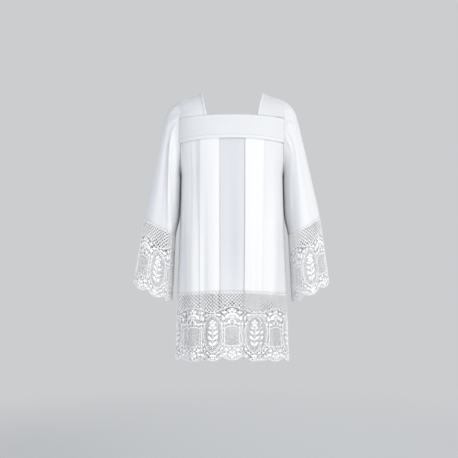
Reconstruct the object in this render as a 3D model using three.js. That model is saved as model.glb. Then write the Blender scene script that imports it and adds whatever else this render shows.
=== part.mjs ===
// A lace-trimmed surplice: square neck, straight yokes, pressed pleats, wide sleeves, deep lace at the hem and cuffs.
// It keeps the hollow form that it has when it is worn. Its front faces -Y, and +X is the viewer's right.
// Sizes are in millimetres, +Z up. The origin lies midway between the shoulders, level with the ridge of the
// shoulders at the neck, where the wearer's shoulders carry the garment.
import * as THREE from 'three';

// ---- Walls and seams ----
const CLOTH = 1.0; // plain cloth
const LACE = 1.2; // lace, with its raised cords
const YOKE = 2.0; // a yoke is two layers
const TAPE = 1.0; // narrow tapes stitched along edges
const SEAM_GAP = 0.3; // between pieces that are sewn edge to edge

// ---- Neck, shoulders and yokes ----
const NECK = { atRidge: 105, atYoke: 86 }; // half-width of the square neck
const RIDGE_SLOPE = 0.36; // how fast the shoulder ridge falls from the neck out
const YOKE_EDGE = { top: -85, bottom: -161, topDroop: 9, bottomDroop: 13 }; // droop is reached at the armhole
const YOKE_OUT = 3.4; // middle of the yoke's wall, out from the body's own surface
const SHOULDER_OUT = 3.0;
const TAPE_WIDTH = 6.5;
const ARMHOLE = { x: 176, top: -26, bottom: -285, front: 62, back: 58 }; // front and back are half-depths

// ---- Body: one row for each level, from the neck to the hem ----
const SQUARENESS = 2.5; // power of the rounded plan, where 2 is an ellipse
const BODY = [
  { z: -60, front: 100, back: 93, halfWidth: 176 },
  { z: -150, front: 122, back: 110, halfWidth: 176 },
  { z: -285, front: 138, back: 118, halfWidth: 176 },
  { z: -480, front: 147, back: 124, halfWidth: 182 },
  { z: -670, front: 152, back: 132, halfWidth: 189 },
  { z: -900, front: 157, back: 140, halfWidth: 195 },
];
const LACE_SEAM = -669; // these two are at the centre, and sag at the sides as the yoke does
const HEM = -894;
const SIDE_EASE = 60; // below the underarm, the height over which the sides sink to the lowest layer

// ---- Pleats: half of a panel, from the centre out. x is where the pressed edge lies, under is the hidden cloth ----
const FOLDS = [
  { name: 'inner', yokeX: 43, hemX: 37, under: 28 },
  { name: 'middle', yokeX: 107, hemX: 95, under: 28 },
  { name: 'outer', yokeX: 164, hemX: 141, under: 42 },
];
const LAYER = { yoke: 1.6, hem: 3.4 }; // from the middle of one layer to the next

// ---- Sleeve: outer and inner edge of each ring in the X-Z plane, and its half-depths front and back ----
const SLEEVE = [
  { t: 0.0, outX: 177.15, outZ: -24, inX: 177.15, inZ: -286, front: 64, back: 60, power: 2.0 },
  { t: 0.06, outX: 197, outZ: -37, inX: 179.5, inZ: -303, front: 67, back: 64, power: 2.05 },
  { t: 0.13, outX: 218, outZ: -63, inX: 181.5, inZ: -324, front: 71, back: 69, power: 2.1 },
  { t: 0.22, outX: 231, outZ: -104, inX: 183, inZ: -349, front: 76, back: 75, power: 2.15 },
  { t: 0.36, outX: 250, outZ: -190, inX: 185, inZ: -388, front: 84, back: 83, power: 2.25 },
  { t: 0.53, outX: 275, outZ: -314, inX: 189, inZ: -436, front: 93, back: 92, power: 2.3 },
  { t: 0.7, outX: 299, outZ: -426, inX: 194, inZ: -484, front: 100, back: 99, power: 2.3 },
  { t: 0.85, outX: 317, outZ: -538, inX: 200, inZ: -601, front: 106, back: 105, power: 2.3 },
  { t: 1.0, outX: 335, outZ: -650, inX: 206, inZ: -712, front: 112, back: 111, power: 2.3 },
];
const CUFF_SEAM_T = 0.7;
// Long soft folds of a sleeve. angle runs from its outer edge by the front to its inner edge; depths are at each end.
const SLEEVE_FOLDS = [
  { angle: 62, spread: 20, armhole: 0, cuff: -7 },
  { angle: 122, spread: 18, armhole: -4, cuff: -6 },
  { angle: 236, spread: 20, armhole: -3, cuff: -8 },
  { angle: 300, spread: 18, armhole: 0, cuff: -6 },
];
const RING_POINTS = 32;

// ---- Scalloped lower edge of the lace ----
const SCALLOP = { period: 68.5, depth: 10 };

// Value of a column where the key column has a given value, on a smooth curve through the table's rows.
function valueAt(rows, key, at, column) {
  let i = 1;
  while (i < rows.length - 1 && (rows[i][key] - at) * (rows[0][key] - at) > 0) i++;
  const slope = (a, b) => (rows[b][column] - rows[a][column]) / (rows[b][key] - rows[a][key]);
  const first = rows[i - 1];
  const last = rows[i];
  const span = last[key] - first[key];
  const s = THREE.MathUtils.clamp((at - first[key]) / span, 0, 1);
  const tangent = (k) => slope(Math.max(k - 1, 0), Math.min(k + 1, rows.length - 1)) * span;
  const s2 = s * s;
  const s3 = s2 * s;
  return (
    (2 * s3 - 3 * s2 + 1) * first[column] +
    (s3 - 2 * s2 + s) * tangent(i - 1) +
    (3 * s2 - 2 * s3) * last[column] +
    (s3 - s2) * tangent(i)
  );
}

// Half-depth of the armhole loop at a height, or 0 below the underarm.
function armholeDepth(side, z) {
  const middle = (ARMHOLE.top + ARMHOLE.bottom) / 2;
  const up = (z - middle) / ((ARMHOLE.top - ARMHOLE.bottom) / 2);
  return z > ARMHOLE.bottom ? ARMHOLE[side] * Math.sqrt(Math.max(0, 1 - up * up)) : 0;
}

// Plan of one side of the body at a height: points from the centre line out to the armhole or the side seam,
// with p, the distance along it.
const PLAN_STEPS = 48;
function planCurve(side, z) {
  const depth = valueAt(BODY, 'z', z, side);
  const edge = armholeDepth(side, z) / depth;
  const halfWidth =
    z > ARMHOLE.bottom
      ? ARMHOLE.x / Math.pow(1 - Math.pow(edge, SQUARENESS), 1 / SQUARENESS)
      : valueAt(BODY, 'z', z, 'halfWidth');
  const lastAngle = Math.acos(Math.pow(edge, SQUARENESS / 2));
  const points = [];
  for (let i = 0; i <= PLAN_STEPS; i++) {
    const angle = (lastAngle * i) / PLAN_STEPS;
    const x = halfWidth * Math.pow(Math.sin(angle), 2 / SQUARENESS);
    const y = depth * Math.pow(Math.cos(angle), 2 / SQUARENESS);
    const p = i ? points[i - 1].p + Math.hypot(x - points[i - 1].x, y - points[i - 1].y) : 0;
    points.push({ x, y, p });
  }
  return points;
}

const planEnd = (plan) => plan[PLAN_STEPS].p;

// Reads a plan curve where its key, 'p' or 'x', has a value.
function onPlan(plan, key, value) {
  let i = 1;
  while (i < PLAN_STEPS && plan[i][key] < value) i++;
  const a = plan[i - 1];
  const b = plan[i];
  const s = (value - a[key]) / (b[key] - a[key]);
  const lerp = THREE.MathUtils.lerp;
  return { x: lerp(a.x, b.x, s), y: lerp(a.y, b.y, s), p: lerp(a.p, b.p, s) };
}

// A point of the body: side, height, distance p from the centre line, and h out from the body's surface.
function bodyPoint(side, z, p, h) {
  const plan = planCurve(side, z);
  const reach = Math.min(Math.abs(p), planEnd(plan) - SEAM_GAP / 2);
  const step = planEnd(plan) / PLAN_STEPS;
  const here = onPlan(plan, 'p', reach);
  const before = onPlan(plan, 'p', Math.max(reach - step, 0));
  const after = onPlan(plan, 'p', Math.min(reach + step, planEnd(plan)));
  const along = new THREE.Vector2(after.x - before.x, after.y - before.y).normalize();
  const across = Math.sign(p) || 1;
  const forward = side === 'front' ? -1 : 1;
  return new THREE.Vector3(
    across * (here.x - along.y * h),
    forward * (here.y + along.x * h),
    z,
  );
}

// A closed wall between two facing grids of points. Rows that are rings have no side edges.
function wallGeometry(faceA, faceB, ring = false) {
  const rows = faceA.length;
  const columns = faceA[0].length;
  const positions = [...faceA.flat(), ...faceB.flat()].flatMap((v) => [v.x, v.y, v.z]);
  const a = (j, i) => j * columns + (i % columns);
  const b = (j, i) => rows * columns + a(j, i);
  const index = [];
  const quad = (p, q, r, s) => index.push(p, q, r, p, r, s);
  const across = ring ? columns : columns - 1;
  for (let i = 0; i < across; i++) {
    for (let j = 0; j < rows - 1; j++) {
      quad(a(j, i), a(j, i + 1), a(j + 1, i + 1), a(j + 1, i));
      quad(b(j, i), b(j + 1, i), b(j + 1, i + 1), b(j, i + 1));
    }
    quad(a(0, i), b(0, i), b(0, i + 1), a(0, i + 1));
    quad(a(rows - 1, i), a(rows - 1, i + 1), b(rows - 1, i + 1), b(rows - 1, i));
  }
  for (let j = 0; j < rows - 1 && !ring; j++) {
    quad(a(j, 0), a(j + 1, 0), b(j + 1, 0), b(j, 0));
    quad(a(j, columns - 1), b(j, columns - 1), b(j + 1, columns - 1), a(j + 1, columns - 1));
  }
  const geometry = new THREE.BufferGeometry();
  geometry.setAttribute('position', new THREE.Float32BufferAttribute(positions, 3));
  geometry.setIndex(facesOut(positions, index));
  geometry.computeVertexNormals();
  return geometry;
}

// Turns every face round if the closed surface has a negative volume.
function facesOut(positions, index) {
  const corner = (k) => new THREE.Vector3().fromArray(positions, 3 * index[k]);
  let volume = 0;
  for (let k = 0; k < index.length; k += 3) volume += corner(k).dot(corner(k + 1).cross(corner(k + 2)));
  if (volume > 0) return index;
  return index.map((_, k) => index[k - (k % 3) + [0, 2, 1][k % 3]]);
}

// A wall of even thickness about a grid of points, out from it by `out` along its normals.
function sheetGeometry(grid, thickness, { ring = false, out = 0, outward } = {}) {
  const columns = grid[0].length;
  const normalAt = (j, i) => {
    const left = grid[j][ring ? (i + columns - 1) % columns : Math.max(i - 1, 0)];
    const right = grid[j][ring ? (i + 1) % columns : Math.min(i + 1, columns - 1)];
    const above = grid[Math.max(j - 1, 0)][i];
    const below = grid[Math.min(j + 1, grid.length - 1)][i];
    const normal = right.clone().sub(left).cross(below.clone().sub(above)).normalize();
    return outward(grid[j][i], normal);
  };
  const face = (offset) =>
    grid.map((row, j) => row.map((v, i) => v.clone().addScaledVector(normalAt(j, i), offset)));
  return wallGeometry(face(out + thickness / 2), face(out - thickness / 2), ring);
}

const range = (count, from = 0, to = 1) =>
  Array.from({ length: count + 1 }, (_, i) => from + ((to - from) * i) / count);

// ---- Pleated panels and the lace below them ----
// Each stretch of the folded path, from the centre line out: where it ends, and into how many steps it is cut.
function foldedPath(side, z, edgeZ) {
  const down = THREE.MathUtils.clamp((YOKE_EDGE.bottom - z) / (YOKE_EDGE.bottom - HEM), 0, 1);
  const plan = planCurve(side, z);
  const [inner, middle, outer] = FOLDS.map(({ yokeX, hemX, under }) => ({
    edge: onPlan(plan, 'x', THREE.MathUtils.lerp(yokeX, hemX, down)).p,
    under,
  }));
  const layer = THREE.MathUtils.lerp(LAYER.yoke, LAYER.hem, down);
  const sink = THREE.MathUtils.clamp((ARMHOLE.bottom - edgeZ) / SIDE_EASE, 0, 1);
  const end = planEnd(planCurve(side, edgeZ));
  const lastTurn = outer.edge - outer.under;
  const stretches = [
    { p: inner.edge + inner.under, level: 0, steps: 3 },
    { p: inner.edge + inner.under, level: 1, steps: 1 },
    { p: inner.edge, level: 1, steps: 2 },
    { p: inner.edge, level: 2, steps: 1 },
    { p: middle.edge, level: 2, steps: 3 },
    { p: middle.edge, level: 1, steps: 1 },
    { p: middle.edge - middle.under, level: 1, steps: 2 },
    { p: middle.edge - middle.under, level: 0, steps: 1 },
    { p: outer.edge, level: 0, steps: 4 },
    { p: outer.edge, level: -1, steps: 1 },
    { p: lastTurn, level: -1, steps: 2 },
    { p: lastTurn, level: -2, steps: 1 },
    { p: outer.edge, level: -2, steps: 2 },
  ];
  const path = [new THREE.Vector2(0, 0)];
  for (const { p, level, steps } of stretches) {
    const from = path[path.length - 1];
    const to = new THREE.Vector2(p, level * layer);
    for (const s of range(steps).slice(1)) path.push(from.clone().lerp(to, s));
  }
  for (const s of range(6).slice(1)) {
    const lift = 1 - sink - (1 - sink) * (1 - s);
    path.push(new THREE.Vector2(THREE.MathUtils.lerp(outer.edge, end, s), -2 * layer * (1 - lift)));
  }
  const mirrored = path.slice(1).reverse().map((v) => new THREE.Vector2(-v.x, v.y));
  return [...mirrored, ...path];
}

// The path moved sideways by d, mitred at its corners.
function offsetPath(path, d) {
  const normal = (i) => {
    const a = path[Math.max(i, 0)];
    const b = path[Math.min(i + 1, path.length - 1)];
    return new THREE.Vector2(a.y - b.y, b.x - a.x).normalize();
  };
  return path.map((v, i) => {
    const before = normal(Math.max(i - 1, 0));
    const after = normal(Math.min(i, path.length - 2));
    const middle = before.clone().add(after).normalize();
    return v.clone().addScaledVector(middle, d / middle.dot(after));
  });
}

// A pleated wall. Each row gives the middle's height, the extra droop at the sides, and how deep scallops cut.
function pleatedGeometry(side, rows, thickness) {
  const faces = [1, -1].map((way) =>
    rows.map(({ z, droop = 0, scallop = 0 }) => {
      const path = foldedPath(side, z, z - droop);
      const plan = planCurve(side, z);
      let along = 0;
      return offsetPath(path, (way * thickness) / 2).map((v, i) => {
        if (i) along += path[i].distanceTo(path[i - 1]);
        const sag = droop * Math.pow(onPlan(plan, 'p', Math.abs(path[i].x)).x / ARMHOLE.x, 2);
        const lobe = Math.sqrt(Math.abs(Math.sin((Math.PI * along) / SCALLOP.period)));
        return bodyPoint(side, z - sag + scallop * (1 - lobe), v.x, v.y);
      });
    }),
  );
  return wallGeometry(...faces);
}

const panelRows = () => {
  const top = YOKE_EDGE.bottom - SEAM_GAP;
  return [0, 0.09, 0.18, 0.245, 0.36, 0.62, 1].map((s) => ({
    z: THREE.MathUtils.lerp(top, LACE_SEAM, s),
    droop: YOKE_EDGE.bottomDroop,
  }));
};

const hemLaceRows = () => [
  { z: LACE_SEAM - SEAM_GAP, droop: YOKE_EDGE.bottomDroop },
  { z: (LACE_SEAM + HEM) / 2, droop: YOKE_EDGE.bottomDroop },
  { z: HEM, droop: YOKE_EDGE.bottomDroop, scallop: SCALLOP.depth },
];

// ---- Yokes and the tapes along their edges ----
const yokeEdge = (x) => ({
  top: YOKE_EDGE.top - YOKE_EDGE.topDroop * Math.pow(x / ARMHOLE.x, 2),
  bottom: YOKE_EDGE.bottom - YOKE_EDGE.bottomDroop * Math.pow(x / ARMHOLE.x, 2),
});

// A point of a yoke: u from one armhole to the other, and a height that follows its drooping edges.
function yokePoint(side, u, heightAt) {
  const guess = bodyPoint(side, YOKE_EDGE.bottom, u * planEnd(planCurve(side, YOKE_EDGE.bottom)), 0);
  const z = heightAt(yokeEdge(guess.x));
  return bodyPoint(side, z, u * planEnd(planCurve(side, z)), 0);
}

// Offsets on yokes and shoulders stay in their own X plane, so that their ends meet the sleeve evenly.
const awayFromBody = (middleZ) => (point, normal) => {
  const flat = new THREE.Vector3(0, normal.y, normal.z).normalize();
  return flat.dot(new THREE.Vector3(0, point.y, point.z - middleZ)) < 0 ? flat.negate() : flat;
};

function yokeGeometry(side) {
  const grid = [0, 0.5, 1].map((v) =>
    range(24, -1, 1).map((u) =>
      yokePoint(side, u, ({ top, bottom }) => THREE.MathUtils.lerp(top, bottom, v)),
    ),
  );
  return sheetGeometry(grid, YOKE, { out: YOKE_OUT, outward: awayFromBody(ARMHOLE.bottom) });
}

function yokeTapeGeometry(side, edge) {
  const heights = edge === 'top' ? [0, -TAPE_WIDTH] : [TAPE_WIDTH, 0];
  const grid = heights.map((up) =>
    range(24, -1, 1).map((u) => yokePoint(side, u, (edges) => edges[edge] + up)),
  );
  const out = YOKE_OUT + YOKE / 2 + SEAM_GAP + TAPE / 2;
  return sheetGeometry(grid, TAPE, { out, outward: awayFromBody(ARMHOLE.bottom) });
}

// ---- Shoulder pieces: an arch from the front yoke over the ridge to the back yoke ----
// u runs from the neck to the armhole, v from the front yoke to the back yoke.
function shoulderPoint(across, u, v) {
  const along = 1 - Math.abs(2 * v - 1);
  const neckX = THREE.MathUtils.lerp(NECK.atYoke, NECK.atRidge, Math.sin((along * Math.PI) / 2));
  const x = THREE.MathUtils.lerp(neckX, ARMHOLE.x, u);
  const side = v < 0.5 ? 'front' : 'back';
  const foot = yokeEdge(x).top + SEAM_GAP;
  const ridge = THREE.MathUtils.lerp(0, ARMHOLE.top, u) - RIDGE_SLOPE * (neckX - NECK.atRidge) * (1 - u);
  const armholeMiddle = (ARMHOLE.top + ARMHOLE.bottom) / 2;
  const middle = THREE.MathUtils.lerp(YOKE_EDGE.top - 25, armholeMiddle, u);
  const plan = planCurve(side, foot);
  const footY = onPlan(plan, 'x', x).y;
  const rise = ridge - middle;
  const footAngle = Math.asin((foot - middle) / rise);
  const reach = footY / Math.cos(footAngle);
  const angle = THREE.MathUtils.lerp(footAngle, Math.PI / 2, along);
  const forward = side === 'front' ? -1 : 1;
  return new THREE.Vector3(across * x, forward * reach * Math.cos(angle), middle + rise * Math.sin(angle));
}

function shoulderGeometry(across) {
  const grid = range(14).map((v) => range(5).map((u) => shoulderPoint(across, u, v)));
  return sheetGeometry(grid, CLOTH, { out: SHOULDER_OUT, outward: awayFromBody(ARMHOLE.bottom) });
}

function neckTapeGeometry(across) {
  const width = TAPE_WIDTH / (ARMHOLE.x - NECK.atRidge);
  const grid = range(14).map((v) => [0, width].map((u) => shoulderPoint(across, u, v)));
  const out = SHOULDER_OUT + CLOTH / 2 + SEAM_GAP + TAPE / 2;
  return sheetGeometry(grid, TAPE, { out, outward: awayFromBody(ARMHOLE.bottom) });
}

// ---- Sleeves and cuffs ----
const signedPower = (value, power) => Math.sign(value) * Math.pow(Math.abs(value), power);

// A point of a sleeve's ring. Angle 0 is its outer edge, 90 the front, 180 the inner edge.
function sleevePoint(across, t, degrees) {
  const at = (column) => valueAt(SLEEVE, 't', t, column);
  const outer = new THREE.Vector3(at('outX'), 0, at('outZ'));
  const inner = new THREE.Vector3(at('inX'), 0, at('inZ'));
  const angle = THREE.MathUtils.degToRad(degrees);
  const toOuter = outer.clone().sub(inner).multiplyScalar(0.5);
  const depth = Math.sin(angle) > 0 ? at('front') : at('back');
  const fold = SLEEVE_FOLDS.reduce((sum, { angle: middle, spread, armhole, cuff }) => {
    const away = (degrees - middle) / spread;
    return sum + THREE.MathUtils.lerp(armhole, cuff, t) * Math.exp(-away * away);
  }, 0);
  const eased = fold * Math.min(1, t / SLEEVE[1].t);
  const power = 2 / at('power');
  const shrink = 1 + eased / depth;
  const point = outer.clone().add(inner).multiplyScalar(0.5);
  point.addScaledVector(toOuter, signedPower(Math.cos(angle), power) * shrink);
  point.y = -depth * signedPower(Math.sin(angle), power) * shrink;
  point.x *= across;
  return point;
}

const fromSleeveMiddle = (across) => (point, normal) => {
  const t = THREE.MathUtils.clamp((ARMHOLE.top - point.z) / (ARMHOLE.top - HEM), 0, 1);
  const middle = new THREE.Vector3(across * THREE.MathUtils.lerp(190, 285, t), 0, point.z);
  return normal.dot(point.clone().sub(middle)) < 0 ? normal.negate() : normal;
};

function sleeveGeometry(across, rows, thickness, scallop = 0) {
  const angles = range(RING_POINTS, 0, 360).slice(0, -1);
  const lobes = 8; // scallops round a cuff
  const length = 232; // of the cuff lace, from its seam to its edge
  const grid = rows.map((t, j) =>
    angles.map((angle) => {
      const lobe = Math.sqrt(Math.abs(Math.sin((angle / 360) * lobes * Math.PI)));
      const cut = j === rows.length - 1 ? ((scallop * (1 - lobe)) / length) * (1 - CUFF_SEAM_T) : 0;
      return sleevePoint(across, t - cut, angle);
    }),
  );
  return sheetGeometry(grid, thickness, { ring: true, outward: fromSleeveMiddle(across) });
}

const sleeveRows = SLEEVE.map(({ t }) => t).filter((t) => t <= CUFF_SEAM_T);
const cuffRows = [CUFF_SEAM_T + 0.0006, 0.85, 1];

// ---- Materials ----
const white = (colour, roughness) => new THREE.MeshStandardMaterial({ color: colour, roughness, metalness: 0 });
const cottonCloth = white(0xf1f3f8, 0.85);
const cottonTape = white(0xf7f8fb, 0.8);
const laceThread = white(0xf4f5f8, 0.9);

// ---- The garment ----
const surplice = new THREE.Group();
surplice.name = 'surplice';

function addPiece(name, geometry, material) {
  const mesh = new THREE.Mesh(geometry, material);
  mesh.name = name;
  surplice.add(mesh);
}

for (const side of ['front', 'back']) {
  addPiece(`${side}_panel`, pleatedGeometry(side, panelRows(), CLOTH), cottonCloth);
  addPiece(`hem_lace_${side}`, pleatedGeometry(side, hemLaceRows(), LACE), laceThread);
  addPiece(`yoke_${side}`, yokeGeometry(side), cottonCloth);
  for (const edge of ['top', 'bottom'])
    addPiece(`yoke_tape_${side}_${edge}`, yokeTapeGeometry(side, edge), cottonTape);
}
for (const [name, across] of [['left', -1], ['right', 1]]) {
  addPiece(`shoulder_${name}`, shoulderGeometry(across), cottonCloth);
  addPiece(`neck_tape_${name}`, neckTapeGeometry(across), cottonTape);
  addPiece(`sleeve_${name}`, sleeveGeometry(across, sleeveRows, CLOTH), cottonCloth);
  addPiece(`cuff_lace_${name}`, sleeveGeometry(across, cuffRows, LACE, SCALLOP.depth), laceThread);
}

export default surplice;
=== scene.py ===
"""A lace-trimmed surplice: pleated panels on straight yokes, wide sleeves, deep lace at hem and cuffs."""

import math

import bpy
import numpy as np
from bpy.props import FloatProperty, FloatVectorProperty, PointerProperty
from bpy.types import Operator, Panel, PropertyGroup
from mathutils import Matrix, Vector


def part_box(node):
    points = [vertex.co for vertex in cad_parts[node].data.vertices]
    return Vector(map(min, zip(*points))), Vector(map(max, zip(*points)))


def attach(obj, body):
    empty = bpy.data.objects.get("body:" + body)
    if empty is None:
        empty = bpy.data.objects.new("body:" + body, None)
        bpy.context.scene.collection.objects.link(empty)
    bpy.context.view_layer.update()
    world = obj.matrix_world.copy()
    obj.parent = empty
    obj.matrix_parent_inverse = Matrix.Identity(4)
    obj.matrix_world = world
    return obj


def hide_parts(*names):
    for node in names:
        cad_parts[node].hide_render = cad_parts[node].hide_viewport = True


bl_info = {
    "name": "Lace-trimmed surplice",
    "version": (1, 0, 0),
    "blender": (4, 5, 0),
    "location": "3D View > Sidebar > Surplice",
    "description": "Cuts, pleats and trims a surplice on its packed frame",
    "category": "Object",
}

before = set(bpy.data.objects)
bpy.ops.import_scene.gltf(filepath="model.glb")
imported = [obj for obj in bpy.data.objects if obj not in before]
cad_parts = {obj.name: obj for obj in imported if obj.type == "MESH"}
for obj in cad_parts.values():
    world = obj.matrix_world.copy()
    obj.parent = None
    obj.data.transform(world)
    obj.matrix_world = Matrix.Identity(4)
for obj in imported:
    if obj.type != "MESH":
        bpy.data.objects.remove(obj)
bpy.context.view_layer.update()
MM = 0.001

# All the tables below are in millimetres, in the garment's own frame: +Z up, the front faces -Y.


def named_rows(columns, *rows):
    """Rows with named columns. A short row leaves out the last ones."""
    return tuple(dict(zip(columns.split(), row)) for row in rows)


def corner(node, high, axis):
    """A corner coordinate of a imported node, in millimetres."""
    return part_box(node)[high][axis] / MM


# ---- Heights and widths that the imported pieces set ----
ARMHOLE_X = corner("shoulder_right", 1, 0)
ARMHOLE_TOP = -26.0
UNDERARM = -285.0
YOKE_FOOT = corner("front_panel", 1, 2)
LACE_TOP = corner("hem_lace_front", 1, 2)
SIDE_SAG = 13.0  # how much lower the yokes and hems lie at the armholes than at the centre
HEM = corner("hem_lace_front", 0, 2) + 16.0
LACE_DEPTH = LACE_TOP - HEM
ARMHOLE = {"front": 62.0, "back": 58.0}  # half-depths of the loop
NECK_AT_RIDGE, NECK_AT_YOKE = 105.0, 86.0
RIDGE_SLOPE = 0.36
YOKE_TOP = {"centre": -85.0, "droop": 9.0}
YOKE_BOTTOM = {"centre": YOKE_FOOT + 0.3, "droop": SIDE_SAG}
YOKE_OVERHANG = 1.2  # how far the cloth of a yoke reaches below its solid
YOKE_OUT = 3.4
SHOULDER_OUT = 3.0
TAPE_OUT = 1.25  # from the middle of a yoke's cloth, away from its thicker edges, to the middle of a tape
# Sizes that the cloth's own coordinates run over, for the weave.
YOKE_CUT, SHOULDER_CUT, SLEEVE_CUT = 76.0, (72.0, 230.0), 700.0

SQUARENESS = 2.5
BODY = named_rows(
    "z front back half_width",
    (-60, 100, 93, 176),
    (-150, 122, 110, 176),
    (-285, 138, 118, 176),
    (-480, 147, 124, 182),
    (-670, 152, 132, 189),
    (-900, 157, 140, 195),
)

# Pressed edges of the pleats, as distances from the centre line at three levels between yoke and hem.
PLEATS = named_rows(
    "side half edge yoke waist hem",
    ("front", "left", "well", 42.4, 42.2, 41.4),
    ("front", "left", "inner", 106.6, 106.8, 103.8),
    ("front", "left", "outer", 163.6, 156.5, 147.6),
    ("front", "right", "well", 43.4, 41.4, 36.8),
    ("front", "right", "inner", 105.4, 98.6, 93.6),
    ("front", "right", "outer", 165.0, 158.6, 142.4),
    ("back", "left", "well", 43.2, 42.6, 39.0),
    ("back", "left", "inner", 106.0, 103.0, 98.0),
    ("back", "left", "outer", 164.0, 158.0, 146.0),
    ("back", "right", "well", 42.6, 42.0, 40.6),
    ("back", "right", "inner", 106.4, 104.6, 100.0),
    ("back", "right", "outer", 164.0, 156.0, 144.0),
)
LAYER_PITCH = {"yoke": 0.85, "hem": 1.5}

# Soft folds that the pressing doesn't hold. At three places down the piece: t from its top to its bottom, the
# place across it, the depth (outwards is positive), and the half-width of the fold.
FRONT_FOLDS = named_rows(
    "t at depth width",
    ((0.04, 0.50, 1.0), (-12, -8, -11), (-1.0, -3.6, -1.6), (12, 15)),
    ((0.00, 0.45, 1.0), (21, 24, 19), (0.3, 2.4, 1.2), (11, 14)),
    ((0.05, 0.60, 1.0), (-60, -58, -61), (0.8, 2.4, 3.0), (12, 14)),
    ((0.20, 0.60, 1.0), (-90, -93, -92), (0.0, -5.0, -5.4), (10, 12)),
    ((0.00, 0.16, 0.46), (-126, -125, -122), (-2.6, -4.6, 0.0), (9, 10)),
    ((0.02, 0.20, 0.50), (-146, -145, -143), (-1.6, -3.4, 0.0), (6, 7)),
    ((0.22, 0.60, 1.0), (-137, -133, -129), (0.0, 3.6, 4.6), (14, 17)),
    ((0.06, 0.50, 1.0), (-182, -176, -168), (-2.0, -4.8, -6.0), (15, 18)),
    ((0.36, 0.70, 1.0), (-208, -216, -226), (0.0, 3.0, 6.0), (22, 27)),
    ((0.06, 0.60, 1.0), (61, 66, 67), (0.5, 2.4, 3.0), (14, 17)),
    ((0.20, 0.55, 1.0), (92, 87, 84), (-0.8, -3.2, -2.0), (8, 10)),
    ((0.12, 0.60, 1.0), (121, 117, 113), (-1.6, -4.4, -4.8), (12, 14)),
    ((0.00, 0.40, 1.0), (147, 143, 137), (1.6, 3.4, 3.4), (12, 15)),
    ((0.04, 0.46, 1.0), (184, 179, 170), (-2.0, -4.6, -6.0), (14, 18)),
    ((0.36, 0.70, 1.0), (211, 221, 231), (0.0, 2.8, 5.6), (22, 28)),
    ((0.72, 0.90, 1.0), (4, 5, 6), (0.0, 2.0, 3.6), (10, 16)),
    ((0.66, 0.86, 1.0), (-28, -29, -31), (0.0, -1.8, -3.2), (9, 13)),
)
BACK_FOLDS = named_rows(
    "t at depth width",
    ((0.05, 0.48, 1.0), (10, 6, 9), (-1.0, -3.4, -2.0), (13, 16)),
    ((0.10, 0.55, 1.0), (-24, -26, -22), (0.4, 2.2, 2.4), (12, 14)),
    ((0.08, 0.62, 1.0), (-63, -67, -66), (0.8, 2.6, 3.4), (14, 17)),
    ((0.22, 0.60, 1.0), (-89, -90, -86), (-0.8, -3.6, -2.6), (8, 11)),
    ((0.10, 0.52, 1.0), (-122, -119, -117), (-1.8, -4.2, -5.0), (12, 14)),
    ((0.02, 0.45, 1.0), (-148, -145, -138), (1.4, 3.4, 3.8), (12, 15)),
    ((0.05, 0.50, 1.0), (-186, -178, -170), (-2.2, -4.4, -5.6), (15, 18)),
    ((0.36, 0.70, 1.0), (-212, -221, -230), (0.0, 3.0, 5.6), (23, 28)),
    ((0.06, 0.58, 1.0), (60, 64, 63), (0.6, 2.4, 3.0), (13, 16)),
    ((0.24, 0.68, 1.0), (93, 92, 90), (0.0, -4.2, -5.0), (10, 12)),
    ((0.04, 0.22, 0.52), (143, 142, 139), (-1.4, -3.2, 0.0), (6, 7)),
    ((0.12, 0.55, 1.0), (124, 126, 121), (-1.2, -3.6, -4.4), (12, 15)),
    ((0.00, 0.42, 1.0), (152, 148, 140), (1.6, 3.2, 3.2), (11, 14)),
    ((0.05, 0.48, 1.0), (181, 175, 168), (-2.0, -4.8, -5.8), (14, 18)),
    ((0.36, 0.70, 1.0), (209, 217, 226), (0.0, 2.8, 5.8), (22, 27)),
)

# Rings of a sleeve: their outer and inner edges in the X-Z plane, and their half-depths.
SLEEVE = named_rows(
    "t out_x out_z in_x in_z front back power left right",
    (0.00, 176.8, -24, 176.8, -286, 64, 60, 2.0, 0, 0),
    (0.06, 197, -37, 179.5, -303, 67, 64, 2.05, 0, 0),
    (0.13, 218, -63, 181.5, -324, 71, 69, 2.1, 2, -2),
    (0.22, 231, -104, 183, -349, 76, 75, 2.15, 4, -3),
    (0.36, 250, -190, 185, -388, 84, 83, 2.25, 4, -2),
    (0.53, 275, -314, 189, -436, 93, 92, 2.3, 2, 0),
    (0.70, 299, -426, 194, -484, 100, 99, 2.3, 1, 0),
    (0.85, 317, -538, 200, -601, 106, 105, 2.3, 2, -2),
    (1.00, 335, -650, 206, -712, 112, 111, 2.3, 3, -4),
)
CUFF_SEAM = 0.70
SLEEVE_COLUMNS = 240
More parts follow.
